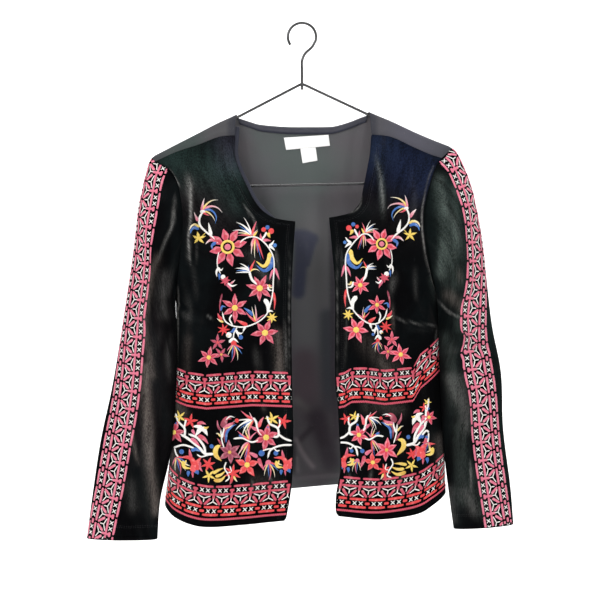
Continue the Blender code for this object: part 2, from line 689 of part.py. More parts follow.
def main():
    clear_scene()
    home = bpy.data.collections.new("velvet_jacket_on_hanger")
    bpy.context.scene.collection.children.link(home)
    velvet, knit, tape, label, wire = (make_finish(name) for name in FINISHES)

    front_right, front_left = front_grid("right"), front_grid("left")
    back = back_grid()
    yoke_right = yoke_grid("right")
    sheets = {
        "front_right": turned(from_grid(front_right)),
        "front_left": from_grid(front_left),
        "back": merge([turned(from_grid(back)), from_grid(yoke_right), turned(from_grid(yoke_grid("left")))]),
        "sleeve_right": from_grid(sleeve_grid("right"), True),
        "sleeve_left": turned(from_grid(sleeve_grid("left"), True)),
    }
    underarm = {}
    for side in ("right", "left"):
        for point in armhole_ring(side):
            weight = soft_step((-325 - point.z) / 40)
            if weight > 0:
                underarm[place_key(point)] = weight
    normals = dict(zip(sheets, shared_normals(list(sheets.values()), underarm)))
    for name, sheet in sheets.items():
        thickness, finish = (KNIT, knit) if name == "back" else (VELVET, velvet)
        apart_way = 1 if name.startswith("sleeve") else -1
        make_wall(name, sheet, normals[name], thickness, finish, home, SEAM_GAP / 2, underarm, apart_way)

    by_place = {}
    for name, (points, faces) in sheets.items():
        for point, normal in zip(points, normals[name]):
            by_place[place_key(point)] = normal
    neck_first, neck_last = FRONT_CELLS, FRONT_CELLS + BACK_NECK_CELLS
    add_back_facing(back, lambda point: by_place[place_key(point)], neck_first, neck_last, tape, home)
    add_neck_facing(yoke_right, front_right, lambda point: by_place[place_key(point)], tape, home)
    inside = [[point - by_place[place_key(point)] * KNIT for point in row] for row in back]
    lift = REST_GAP + LABEL
    add_label("label_main", MAIN_LABEL, inside, lift, label, home)
    add_label("label_size", SIZE_LABEL, inside, lift, label, home)
    hanger_frame(wire, home)
    hanger_hook(wire, home)


main()
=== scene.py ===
import math

import bpy
import numpy as np
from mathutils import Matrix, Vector
from mathutils.bvhtree import BVHTree


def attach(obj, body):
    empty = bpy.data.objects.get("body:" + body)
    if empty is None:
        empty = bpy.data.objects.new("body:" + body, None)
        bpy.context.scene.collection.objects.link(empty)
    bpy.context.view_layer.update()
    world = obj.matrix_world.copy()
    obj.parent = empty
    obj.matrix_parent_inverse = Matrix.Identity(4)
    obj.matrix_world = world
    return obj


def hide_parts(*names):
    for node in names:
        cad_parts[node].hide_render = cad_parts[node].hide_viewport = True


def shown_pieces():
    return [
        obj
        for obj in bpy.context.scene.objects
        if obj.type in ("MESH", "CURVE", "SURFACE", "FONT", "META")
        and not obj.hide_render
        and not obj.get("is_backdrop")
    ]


# An embroidered velvet jacket on a wire hanger. The fronts face -Y, and the hook holds the origin.
# The shape tables are in millimetres, as a pattern cutter writes them.

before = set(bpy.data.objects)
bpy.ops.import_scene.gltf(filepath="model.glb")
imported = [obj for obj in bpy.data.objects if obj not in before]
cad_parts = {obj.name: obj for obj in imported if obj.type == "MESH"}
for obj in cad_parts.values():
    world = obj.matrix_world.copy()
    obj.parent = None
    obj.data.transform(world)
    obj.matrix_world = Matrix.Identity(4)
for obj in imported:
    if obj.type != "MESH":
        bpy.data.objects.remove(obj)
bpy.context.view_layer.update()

mm = 0.001
fine = 6  # cells of fine cloth for each coarse cell of the pattern
bothSides = ("right", "left")


# Shader maths


# Wraps a socket, so that an expression on values adds its Math nodes.
class Value:
    def __init__(self, finish, socket):
        self.finish = finish
        self.socket = socket

    def __add__(self, other):
        return self.finish.maths("ADD", self, other)

    __radd__ = __add__

    def __sub__(self, other):
        return self.finish.maths("SUBTRACT", self, other)

    def __rsub__(self, other):
        return self.finish.maths("SUBTRACT", other, self)

    def __mul__(self, other):
        return self.finish.maths("MULTIPLY", self, other)

    __rmul__ = __mul__


# What a material's nodes and a geometry tree's nodes have in common.
class Nodes:
    def node(self, kind, settings=None, inputs=None, output=0):
        made = self.tree.nodes.new(kind)
        for name, value in (settings or {}).items():
            setattr(made, name, value)
        for name, value in (inputs or {}).items():
            if isinstance(value, Value):
                self.tree.links.new(value.socket, made.inputs[name])
            else:
                made.inputs[name].default_value = value
        return Value(self, made.outputs[output]) if made.outputs else None

    def maths(self, operation, first, second=0.0):
        return self.node("ShaderNodeMath", {"operation": operation}, {0: first, 1: second})

    def split(self, vector, axis):
        return self.node("ShaderNodeSeparateXYZ", {}, {0: vector}, axis)


# One material, and the kinds of node that its finishes share.
class Finish(Nodes):
    def __init__(self, name):
        self.material = bpy.data.materials.new(name)
        self.material.use_nodes = True
        self.tree = self.material.node_tree
        self.tree.nodes.clear()

    def clamp(self, value):
        return self.node("ShaderNodeClamp", {}, {0: value})

    def smooth(self, value, start, stop):
        return self.node("ShaderNodeMapRange", {"interpolation_type": "SMOOTHSTEP"},
                         {0: value, 1: start, 2: stop})

    def mix(self, share, first, second):
        first, second = (colour if isinstance(colour, Value) else (*colour, 1)
                         for colour in (first, second))
        return self.node("ShaderNodeMix", {"data_type": "RGBA"}, {0: share, 6: first, 7: second}, 2)

    def uv(self, name="cloth"):
        return self.node("ShaderNodeUVMap", {"uv_map": name})

    # An attribute of the mesh: output 0 is its colour, and 2 its value.
    def stored(self, name, output=0):
        return self.node("ShaderNodeAttribute", {"attribute_name": name}, {}, output)

    def waves(self, value, count):
        return self.maths("SINE", value * (count * 2 * math.pi))

    def place(self):
        return self.node("ShaderNodeTexCoord", {}, {}, 3)

    def scaled(self, vector, sizes):
        return self.node("ShaderNodeVectorMath", {"operation": "MULTIPLY"}, {0: vector, 1: sizes})

    def noise(self, vector, scale, detail=2.0, roughness=0.5, distortion=0.0):
        return self.node("ShaderNodeTexNoise", {}, {
            "Vector": vector, "Scale": scale, "Detail": detail, "Roughness": roughness,
            "Distortion": distortion})

    def add(self, share, first, second):
        return self.node("ShaderNodeMix", {"data_type": "RGBA", "blend_type": "ADD"},
                         {0: share, 6: first, 7: second}, 2)

    def bump(self, height, distance, strength=1.0):
        return self.node("ShaderNodeBump", {},
                         {"Height": height, "Distance": distance, "Strength": strength})

    def surface(self, fixed, **changing):
        inputs = {name: (*value, 1) if isinstance(value, tuple) else value for name, value in fixed.items()}
        inputs.update({name.replace("_", " "): value for name, value in changing.items()})
        return self.node("ShaderNodeBsdfPrincipled", {}, inputs)

    def blend(self, share, first, second):
        return self.node("ShaderNodeMixShader", {}, {0: share, 1: first, 2: second})

    def done(self, shader):
        self.node("ShaderNodeOutputMaterial", {}, {"Surface": shader})
        return self.material


# Finishes

velvetLook = {
    "deep": (0.0010, 0.0010, 0.0013),
    "cool": (0.0030, 0.0046, 0.0050),
    "warm": (0.0085, 0.0068, 0.0068),
    "pile": 1500,  # tufts to a metre
    "grain": 620,  # coarser clumps of pile
    "rubStretch": (46, 11, 1),
    # The surface where the pile stands, and the one mixed in under the painted highlights.
    "rest": {"Sheen Weight": 0.025, "Sheen Roughness": 0.25, "Sheen Tint": (0.70, 0.76, 0.82)},
    "rubbed": {"Sheen Weight": 0.22, "Sheen Roughness": 0.55, "Sheen Tint": (0.82, 0.80, 0.78)},
}
# Colours of the painted highlights (pale) and painted sheen (dark) on the velvet.
paintedSheenTints = {
    "silver": (0.215, 0.210, 0.200), "brown": (0.165, 0.137, 0.120), "moss": (0.125, 0.158, 0.140),
    "green": (0.012, 0.024, 0.021), "navy": (0.008, 0.013, 0.034), "plum": (0.018, 0.016, 0.026),
    "umber": (0.015, 0.012, 0.013),
}


# Velvet is nearly black where its pile stands. Painted highlights and painted sheen from the tone attribute
# make it silvery, and there a surface with more sheen is mixed in.
def velvetFinish():
    look = velvetLook
    f = Finish("black crushed velvet")
    uv = f.uv()
    streaks = f.noise(f.scaled(uv, look["rubStretch"]), 1.0, 4.0, 0.62, 0.7)
    patches = f.noise(uv, 9.0, 3.0, 0.55, 0.4)
    crush = f.stored("crush", 2)
    tone = f.stored("tone")
    stray = f.smooth(streaks, 0.54, 0.76) * f.smooth(patches, 0.46, 0.66)
    tufts = f.noise(uv, look["pile"], 2.0, 0.7)
    grain = f.noise(f.scaled(uv, (1.0, 0.5, 1.0)), look["grain"], 4.0, 0.75)
    flow = f.noise(f.scaled(uv, (90, 16, 1)), 1.0, 4.0, 0.6, 0.5)
    normal = f.bump(tufts * 0.35 + grain * 0.65, 0.0006, 0.55)
    base = f.mix(f.smooth(patches, 0.40, 0.72), look["deep"], look["cool"])
    base = f.mix(stray * 0.8, base, look["warm"])
    speckle = f.smooth(grain, 0.40, 0.64) + f.smooth(flow, 0.32, 0.66) * 0.7
    # The tone attribute adds the painted highlights and painted sheen to the base colour.
    base = f.add(f.clamp(speckle * 0.62 + 0.10), base, tone)
    base = f.mix(f.smooth(tufts, 0.35, 0.8) * 0.30, base, look["deep"])
    fixed = {"Roughness": 0.9, "Specular IOR Level": 0.03}
    still = f.surface({**fixed, **look["rest"]}, Base_Color=base, Normal=normal)
    highlitSurface = f.surface({**fixed, **look["rubbed"]}, Base_Color=base, Normal=normal)
    return f.done(f.blend(f.clamp(crush * speckle + stray * 0.2), still, highlitSurface))


knitLook = {
    "yarn": (0.098, 0.096, 0.103),
    "shade": (0.050, 0.049, 0.053),
    "green": (0.086, 0.103, 0.098),
    "plum": (0.100, 0.088, 0.096),
    "wales": 1150,  # columns of loops to a metre
    "courses": 900,
}


# Fine jersey: short loops stand in columns, and the dye varies a little.
def knitFinish():
    look = knitLook
    f = Finish("charcoal jersey knit")
    uv = f.uv()
    across, up = f.split(uv, 0), f.split(uv, 1)
    column = f.waves(across, look["wales"])
    course = f.maths("SINE", up * (look["courses"] * 2 * math.pi) + column * 1.4)
    loops = column * 0.6 + course * 0.4
    cloudy = f.noise(uv, 7.0, 3.0, 0.6)
    drift = f.noise(f.scaled(uv, (1.0, 1.3, 1.0)), 4.5, 2.0, 0.5)
    lint = f.noise(uv, 420.0, 2.0, 0.6)
    colour = f.mix(f.smooth(cloudy, 0.40, 0.62), look["yarn"], look["green"])
    colour = f.mix(f.smooth(drift, 0.46, 0.64), colour, look["plum"])
    # The tone and its share: painted shadows and painted light inside the back, and the shoulder strip's
    # own colour.
    shade = f.stored("crush", 2)
    tone = f.stored("tone")
    colour = f.mix(shade, colour, f.mix(f.smooth(cloudy, 0.45, 0.75) * 0.35, tone, look["yarn"]))
    colour = f.mix(f.clamp(loops * -0.25 + 0.25), colour, look["shade"])
    colour = f.mix(f.smooth(lint, 0.62, 0.8) * 0.3, colour, (0.19, 0.185, 0.19))
    normal = f.bump(loops * 0.4 + lint * 0.6, 0.0003, 0.7)
    fixed = {"Roughness": 0.9, "Specular IOR Level": 0.2, "Sheen Weight": 0.12, "Sheen Roughness": 0.5,
             "Sheen Tint": (0.8, 0.8, 0.85)}
    return f.done(f.surface(fixed, Base_Color=colour, Normal=normal))


tapeLook = {"thread": (0.011, 0.012, 0.022), "light": (0.021, 0.023, 0.038), "twills": 900}


# The neck tape is a fine bluish twill.
def tapeFinish():
    look = tapeLook
    f = Finish("bluish twill tape")
    uv = f.uv()
    rib = f.waves(f.split(uv, 0) + f.split(uv, 1), look["twills"])
    worn = f.noise(uv, 60.0, 3.0, 0.6)
    tone = f.stored("tone")
    colour = f.mix(f.clamp(rib * 0.3 + worn * 0.6), look["thread"], look["light"])
    colour = f.add(worn * 0.6 + 0.3, colour, tone)
    fixed = {"Roughness": 0.75, "Specular IOR Level": 0.3, "Sheen Weight": 0.2, "Sheen Roughness": 0.4}
    return f.done(f.surface(fixed, Base_Color=colour, Normal=f.bump(rib, 0.00015, 0.6)))


labelLook = {"weft": (0.93, 0.925, 0.91), "shadow": (0.74, 0.73, 0.72), "weaves": 1300}


# The labels are blank white satin ribbon with a fine woven grain.
def labelFinish():
    look = labelLook
    f = Finish("blank satin label")
    uv = f.uv()
    warp = f.waves(f.split(uv, 0), look["weaves"])
    weft = f.waves(f.split(uv, 1), look["weaves"])
    soft = f.noise(uv, 90.0, 2.0, 0.5)
    shadow = f.clamp(warp * weft * 0.15 + f.smooth(soft, 0.45, 0.8) * 0.3)
    colour = f.mix(shadow, look["weft"], look["shadow"])
    fixed = {"Roughness": 0.55, "Specular IOR Level": 0.4, "Sheen Weight": 0.15}
    return f.done(f.surface(fixed, Base_Color=colour, Normal=f.bump(warp + weft, 0.00012, 0.5)))


# Strands to a metre, and the strength of the thread's painted highlights.
threadLook = {"strands": 1050, "tones": 0.16}


# Glossy embroidery thread. Each stitch runs across its stroke, and its colour is in the mesh.
def threadFinish():
    look = threadLook
    f = Finish("satin stitch thread")
    uv = f.uv("stitch")
    dye = f.stored("dye")
    along = f.split(uv, 0) + f.split(uv, 1) * 0.45
    wobble = f.noise(uv, 500.0, 1.0)
    strand = f.waves(along + wobble * 0.0004, look["strands"])
    # Between stitches the colour darkens toward near black: painted shade in the grooves.
    gap = f.smooth(strand, -1.0, -0.2)
    colour = f.mix((1 - gap) * 0.62, dye, (0.02, 0.01, 0.012))
    # Random near-white patches are painted highlights on the thread.
    paintedHighlight = f.noise(uv, 160.0, 2.0)
    colour = f.mix(f.smooth(paintedHighlight, 0.5, 0.8) * look["tones"], colour, (1.0, 0.92, 0.88))
    fixed = {"Roughness": 0.42, "Specular IOR Level": 0.45, "Sheen Weight": 0.25, "Sheen Roughness": 0.35}
    normal = f.bump(strand * 0.7 + wobble * 0.3, 0.00022, 0.7)
    return f.done(f.surface(fixed, Base_Color=colour, Normal=normal))


wireLook = {"lacquer": (0.004, 0.004, 0.005), "scuff": (0.05, 0.048, 0.046)}


# Black lacquered wire with a few rubbed places.
def wireFinish():
    look = wireLook
    f = Finish("black lacquered wire")
    place = f.place()
    scuffs = f.smooth(f.noise(place, 95.0, 4.0, 0.65), 0.62, 0.76)
    grain = f.noise(place, 1800.0, 2.0)
    colour = f.mix(scuffs * 0.6, look["lacquer"], look["scuff"])
    fixed = {"Specular IOR Level": 0.5, "Coat Roughness": 0.2}
    return f.done(f.surface(fixed, Base_Color=colour, Roughness=scuffs * 0.25 + 0.25,
                            Coat_Weight=0.8 - scuffs * 0.5, Normal=f.bump(grain, 0.00008, 0.4)))


# Shape of the cloth, worked out as the pattern's own lines say

body = {"right": {
    "ridge": ((-203, 0, -179.5), (-165, 0, -160.5), (-132, 0, -143.4), (-88.5, 0, -122)),
    "shoulder seam": ((-90.5, -9, -151), (-112, -8.5, -153), (-139, -7.5, -163), (-170, -6.5, -173),
        (-198, -5.5, -185.5)),
    "yoke at armhole": ((-202, 4, -183), (-203, 0, -179.5), (-202, -2.5, -181), (-200, -4, -183),
        (-198, -5.5, -185.5)),
    "neck": ((-90.5, -9, -151), (-91.2, -13, -175), (-85, -17, -197), (-75, -21, -219), (-66, -24, -237),
        (-55, -26.5, -252), (-41, -28, -262), (-28, -29, -266), (-9.6, -30, -268.5)),
    "front edge": ((-9.6, -30, -268.5), (-13.3, -33, -325), (-14.9, -37, -381), (-14, -41, -473),
        (-12.4, -44, -543), (-14, -46, -610), (-20.7, -47, -656), (-23.7, -47, -663)),
    "armhole front": ((-198, -5.5, -185.5), (-181, -12, -196), (-167, -20, -217), (-159.5, -29, -262),
        (-161, -30, -304), (-166.5, -20, -345), (-171, 0, -368)),
    "armhole back": ((-202, 4, -183), (-187, 12, -197), (-173, 22, -222), (-166, 31, -262),
        (-166, 31, -304), (-168.5, 21, -345), (-171, 0, -368)),
    "side seam": ((-171, 0, -368), (-169.8, 0, -400), (-170, 0, -470), (-176, 0, -560), (-185, 0, -646)),
    "hem": ((-23.7, -663), (-82, -669), (-126, -672.5), (-150, -669), (-170, -661), (-181, -652),
        (-185, -646)),
}, "left": {
    "ridge": ((203, 0, -166.5), (181, 0, -158), (159, 0, -149), (116, 0, -130.2), (90, 0, -118.3)),
    "shoulder seam": ((94, -9, -150), (120, -8.5, -153), (151, -8, -167), (172, -7.5, -176),
        (188, -7, -181)),
    "yoke at armhole": ((202, 4, -170), (203, 0, -166.5), (200, -3, -169.5), (195, -5, -174.5),
        (188, -7, -181)),
    "neck": ((94, -9, -150), (91.5, -13, -177), (86.5, -18, -204), (82.5, -21, -223), (79.5, -24, -238),
        (74, -26, -248.5), (64, -28, -257), (50, -29, -261), (36.6, -30, -263.5)),
    "front edge": ((36.6, -30, -263.5), (40.8, -33, -307), (44.5, -36, -362), (44.3, -41, -473),
        (48, -43, -515), (50.4, -45, -565), (51.3, -46, -597), (46, -47, -626), (45, -47, -650),
        (48.7, -47, -657)),
    "armhole front": ((188, -7, -181), (180, -12, -194), (170, -20, -224), (162.5, -28, -262),
        (165, -29, -298), (172, -20, -336), (182, 0, -368)),
    "armhole back": ((202, 4, -170), (190, 12, -188), (178, 22, -218), (170, 31, -262), (171, 30, -304),
        (176, 20, -342), (182, 0, -368)),
    "side seam": ((182, 0, -368), (184.5, 0, -400), (186.5, 0, -454), (190, 0, -540), (194, 0, -631)),
    "hem": ((48.7, -657), (97, -661.5), (136, -658.5), (158, -654), (174, -645), (188, -636), (194, -631)),
},
    "back neck": ((-88, 5.4, -125.8), (-70, 10, -131), (-56, 12, -134.5), (-23, 15, -137), (7, 16, -137.2),
        (38, 15, -137), (51, 13, -135), (65, 10, -131), (78, 9, -126), (89.5, 5.4, -122.2)),
    "back hem": (-646, -636, -627, -624, -625, -628, -631),
    "front depth": 47,
    "back depth": 48,
    "side rounding": 2.4,
    "top hold": 0.3,
    "drape rate": 0.35,
    "velvet": 1,
    "knit": 0.8,
    "hem wall": 1.9,  # turned hems are two layers thick
}
cells = {"armhole": 10 * fine, "side": 14 * fine, "neck": 9 * fine, "edge": 15 * fine, "front": 16 * fine,
         "back neck": 10 * fine, "sleeve": 24 * 5}

# Large folds: top x and z, foot x and z, half width, rise.
bodyFolds = {
    "right": ((-152, -218, -149, -330, 11, 5), (-130, -230, -128, -420, 13, -3),
        (-60, -300, -72, -600, 22, 4), (-120, -420, -126, -672, 17, -4), (-45, -560, -50, -668, 14, -3)),
    "left": ((112, -165, 109, -262, 10, 5), (126, -200, 118, -470, 14, -4), (150, -230, 152, -360, 11, 4),
        (84, -330, 96, -600, 22, 4), (150, -430, 152, -655, 16, -4)),
    "back": ((-95, -200, -70, -600, 24, 5), (-30, -250, -22, -624, 20, -5), (45, -220, 40, -626, 22, 5),
        (110, -200, 128, -610, 24, -5), (-135, -300, -128, -640, 16, -4)),
}


def softStep(value):
    value = np.clip(value, 0.0, 1.0)
    return value * value * (3 - 2 * value)


# A fold fades out past both of its ends.
def fadeAtEnds(share):
    return softStep(share * 5 + 0.5) * softStep((1 - share) * 5 + 0.5)


def unit(vectors):
    return vectors / np.maximum(np.linalg.norm(vectors, axis=-1, keepdims=True), 1e-9)


# Distance run along a line of points.
def runOf(path):
    return np.concatenate([[0], np.cumsum(np.linalg.norm(np.diff(path, axis=0), axis=1))])


def curveThrough(before, start, stop, after, t):
    turn, turnAfter = (stop - before) * 0.5, (after - start) * 0.5
    return (start * (2 * t**3 - 3 * t**2 + 1) + turn * (t**3 - 2 * t**2 + t)
            + stop * (3 * t**2 - 2 * t**3) + turnAfter * (t**3 - t**2))


# Points on a smooth line through a table's rows, with equal steps between each pair of rows.
def throughRows(rows, steps):
    rows = np.array(rows, float)
    ends = np.concatenate([[2 * rows[0] - rows[1]], rows, [2 * rows[-1] - rows[-2]]])
    t = (np.arange(steps) / steps).reshape(-1, *[1] * (rows.ndim - 1))
    parts = [curveThrough(*ends[index - 1:index + 3], t) for index in range(1, len(ends) - 2)]
    return np.concatenate([*parts, rows[-1:]])


# Points at the given shares of the length of a table's line.
def along(rows, shares):
    dense = throughRows(rows, 36)
    lengths = runOf(dense)
    targets = np.clip(shares, 0, 1) * lengths[-1]
    return np.stack([np.interp(targets, lengths, values) for values in dense.T], axis=1)


def even(count):
    return np.arange(count + 1) / count


def between(top, bottom, left, right, across, down):
    u, v = np.array(across)[None, :, None], np.array(down)[:, None, None]
    grid = top[None] * (1 - v) + bottom[None] * v + left[:, None] * (1 - u) + right[:, None] * u
    grid -= (top[0] * (1 - u) * (1 - v) + top[-1] * u * (1 - v)
             + bottom[0] * (1 - u) * v + bottom[-1] * u * v)
    grid[:, 0], grid[:, -1], grid[0], grid[-1] = left, right, top, bottom
    return grid


def frontShares():
    return 1 - (1 - even(cells["front"]))**1.35


def shoulderShares():
    return (1 - frontShares())[::-1]


def rounded(share):
    power = body["side rounding"]
    return np.maximum(0.0, 1 - np.abs(share)**power)**(1 / power)


def foldRise(folds, x, z):
    rise = np.zeros_like(x)
    for topX, topZ, footX, footZ, width, height in folds:
        run = np.array((footX - topX, footZ - topZ), float)
        share = ((x - topX) * run[0] + (z - topZ) * run[1]) / run.dot(run)
        aside = np.hypot(x - topX - run[0] * share, z - topZ - run[1] * share)
        rise += height * np.exp(-(aside / width)**2) * fadeAtEnds(share)
    return rise


# Near the top the cloth follows its seam, and further down it reaches its full depth.
def drape(grid, across, down, depths, edges):
    u, v = np.array(across)[None, :], np.array(down)[:, None]
    hold = 1 - softStep(v / body["top hold"])
    grown = (1 - np.exp(-v / body["drape rate"])) / (1 - np.exp(-1 / body["drape rate"]))
    tops = grid[0, :, 1].copy()
    sides = grid[:, 0, 1].copy(), grid[:, -1, 1].copy()
    depth = tops[None] * hold + depths[None] * grown
    for side, share in ((0, u), (1, 1 - u)):
        base = tops[-side] * hold + depths[-side] * grown
        depth = depth + (sides[side][:, None] - base) * np.maximum(0.0, 1 - share / edges[side])**2
    grid[:, :, 1] = depth


# Armhole and side seam in one line, down to the hem.
def outerLine(side, armhole):
    return np.vstack([along(body[side][armhole], even(cells["armhole"])),
                      along(body[side]["side seam"], even(cells["side"]))[1:]])


def frontGrid(side):
    lines = body[side]
    across, down = frontShares(), even(cells["armhole"] + cells["side"])
    inner = np.vstack([along(lines["neck"], even(cells["neck"])),
                       along(lines["front edge"], even(cells["edge"]))[1:]])
    outer = outerLine(side, "armhole front")
    top = along(lines["shoulder seam"], across)
    bottom = along([(x, 0, z) for x, z in lines["hem"]], across)
    depths = -body["front depth"] * rounded(across)
    bottom[:, 1] = depths
    grid = between(top, bottom, inner, outer, across, down)
    drape(grid, across, down, depths, (1.0, 0.45))
    fade = softStep(down * 6)[:, None] * softStep((1 - across) * 5)[None]
    grid[:, :, 1] -= foldRise(bodyFolds[side], grid[:, :, 0], grid[:, :, 2]) * fade
    return grid


def behindRidge(side):
    lines, shares = body[side], shoulderShares()
    points = along(lines["ridge"], shares)
    start = np.array(lines["yoke at armhole"][0], float)
    stop = np.array(body["back neck"][0 if side == "right" else -1], float)
    return points - (points[0] - start) * (1 - shares)[:, None] - (points[-1] - stop) * shares[:, None]


def backGrid():
    down = even(cells["armhole"] + cells["side"])
    top = np.vstack([behindRidge("right"), along(body["back neck"], even(cells["back neck"]))[1:-1],
                     behindRidge("left")[::-1]])
    across = (top[:, 0] - top[0, 0]) / (top[-1, 0] - top[0, 0])
    sides = [outerLine(side, "armhole back") for side in bothSides]
    heights = along([(index, 0, z) for index, z in enumerate(body["back hem"])], across)[:, 2]
    depths = body["back depth"] * rounded(2 * across - 1)
    first, last = sides[0][-1], sides[1][-1]
    bottom = np.stack([first[0] + (last[0] - first[0]) * across, depths, heights], axis=1)
    grid = between(top, bottom, sides[0], sides[1], across, down)
    drape(grid, across, down, depths, (0.22, 0.22))
    fade = softStep(down * 6)[:, None] * (softStep(across * 8) * softStep((1 - across) * 8))[None]
    grid[:, :, 1] += foldRise(bodyFolds["back"], grid[:, :, 0], grid[:, :, 2]) * fade
    return grid


# The shoulder strip of the back, from behind the ridge over the wire to the seam in front.
def yokeGrid(side):
    lines, shares = body[side], shoulderShares()
    behind, ridge = behindRidge(side), along(lines["ridge"], shares)
    seam = along(lines["shoulder seam"], frontShares())[::-1]
    atArmhole = np.array(lines["yoke at armhole"], float)
    third = ridge[-1] + np.array((0, -5.4, -4.0))
    third[0] = ridge[-1][0] + (seam[-1][0] - ridge[-1][0]) * 0.3
    atNeck = [behind[-1], ridge[-1], third, (third + seam[-1]) / 2, seam[-1]]
    rows = [behind, ridge]
    for level in (2, 3):
        start = atArmhole[level] - (atArmhole[1] + (atArmhole[4] - atArmhole[1]) * level / 4)
        stop = atNeck[level] - (atNeck[1] + (atNeck[4] - atNeck[1]) * level / 4)
        rows.append(ridge + (seam - ridge) * level / 4
                    + start * (1 - shares)[:, None] + stop * shares[:, None])
    rows.append(seam)
    grid = throughRows(rows, fine)
    grid[:, 0] = throughRows(atArmhole, fine)
    return grid


def armholeRing(side):
    lines = body[side]
    front = along(lines["armhole front"], even(cells["armhole"]))
    back = along(lines["armhole back"], even(cells["armhole"]))
    over = throughRows(lines["yoke at armhole"], fine)
    return np.vstack([over[fine:], front[1:], back[-2:0:-1], over[:fine]])


# A sleeve's rings: outer x and z, inner x and z, half depth, forward swing, at each stop.
# Folds: turn, start, stop, end turn, half width as a turn, rise.
sleeve = {
    "right": ((-212, -199, -171.6, -376, 30, -1), (-220, -247, -169.8, -392, 29, -5),
        (-227, -311, -167.6, -418, 27, -9), (-240, -400, -167.4, -458, 25, -12),
        (-254, -485, -170.6, -520, 23, -12), (-270, -560, -177, -582, 21, -12),
        (-281, -630, -190, -640, 19, -9), (-289, -692, -194, -693, 17, -10)),
    "left": ((217, -181, 183, -377, 30, -1), (229, -222, 182.8, -392, 29, -5),
        (242, -292, 183, -416, 27, -9), (254, -400, 184.2, -458, 25, -12),
        (267, -470, 187.4, -520, 23, -12), (270, -545, 190.2, -575, 21, -12),
        (280, -622, 197.5, -634, 19, -9), (284, -673, 203.5, -679, 17, -10)),
    "stops": (0.035, 0.115, 0.22, 0.38, 0.54, 0.7, 0.85, 1),
    "points": (13, 11),  # coarse cells of the ring in front and behind
    "edge": 1.25,
    "face": 0.95,
    "cling": (0.13, 0.75, 24),  # share of the length, how much, steepness at the seam
    "folds right": ((0.27, 0.02, 0.34, 0.2, 0.035, 5), (0.36, 0, 0.24, 0.31, 0.03, -4),
        (0.33, 0.36, 0.95, 0.29, 0.045, 4), (0.7, 0.1, 0.9, 0.66, 0.05, -4)),
    "folds left": ((0.4, 0.3, 0.44, 0.13, 0.03, -6), (0.34, 0.24, 0.4, 0.2, 0.03, 4.5),
        (0.24, 0.02, 0.26, 0.2, 0.035, 4), (0.32, 0.48, 0.95, 0.29, 0.045, 4),
        (0.7, 0.1, 0.9, 0.66, 0.05, -4)),
}


# Turns of the ring's points: 0 at the outer edge, a half at the underarm.
def ringTurns():
    front, behind = sleeve["points"]
    places = np.arange((front + behind) * fine) / fine
    return np.where(places <= front, places / front * 0.5, 0.5 + (places - front) / behind * 0.5)


def alongFolds(folds, level, turns):
    rise = np.zeros(len(turns))
    for turnFrom, start, stop, turnTo, width, height in folds:
        share = (level - start) / (stop - start)
        here = turnFrom + (turnTo - turnFrom) * min(max(share, 0), 1)
        away = (turns - here + 0.5) % 1 - 0.5
        rise += height * np.exp(-(away / width)**2) * fadeAtEnds(share)
    return rise


def sleeveGrid(side):
    first, turns = armholeRing(side), ringTurns()
    stops, table = sleeve["stops"], np.array(sleeve[side], float)
    angle = turns * 2 * math.pi
    reach = np.abs(np.cos(angle))**sleeve["edge"] * np.sign(np.cos(angle))
    bulge = np.abs(np.sin(angle))**sleeve["face"] * np.sign(np.sin(angle))
    rings = [first]
    for level in even(cells["sleeve"])[1:]:
        index = 0
        while index < len(stops) - 2 and stops[index + 1] < level:
            index += 1
        share = (level - stops[index]) / (stops[index + 1] - stops[index])
        rows = table[[max(index - 1, 0), index, index + 1, min(index + 2, len(stops) - 1)]]
        outerX, outerZ, innerX, innerZ, depth, swing = curveThrough(*rows, share)
        outer, inner = np.array((outerX, swing, outerZ)), np.array((innerX, swing, innerZ))
        middle = (outer + inner) / 2
        ring = middle + (outer - middle) * reach[:, None]
        ring[:, 1] -= depth * bulge
        reachOfCling, amount, steepness = sleeve["cling"]
        cling = (1 - softStep(level / reachOfCling)) * amount
        cling += (1 - softStep(level * steepness)) * (1 - cling)
        ring = ring + (first - ring) * cling
        rise = alongFolds(sleeve["folds " + side], level, turns)
        rise *= softStep(level * 12) * softStep(np.abs(turns - 0.5) * 8)
        outward = ring - ring.mean(axis=0)
        outward[:, 2] = 0
        rings.append(ring + unit(outward) * rise[:, None])
    return np.array(rings)


# Sheets: points, faces, maps and normals

def gridFaces(rows, columns, closed=False):
    i, j = np.meshgrid(np.arange(rows - 1), np.arange(columns if closed else columns - 1), indexing="ij")
    k = (j + 1) % columns
    quads = np.stack([i * columns + j, (i + 1) * columns + j, (i + 1) * columns + k, i * columns + k],
                     axis=-1)
    return quads.reshape(-1, 4)


# Distances along a grid's rows or columns, from its first point.
def distances(grid, axis):
    steps = np.linalg.norm(np.diff(grid, axis=axis), axis=2)
    pad = np.zeros_like(np.take(steps, [0], axis=axis))
    return np.cumsum(np.concatenate([pad, steps], axis=axis), axis=axis)


def placeKeys(points):
    return np.round(points * 50).astype(np.int64)


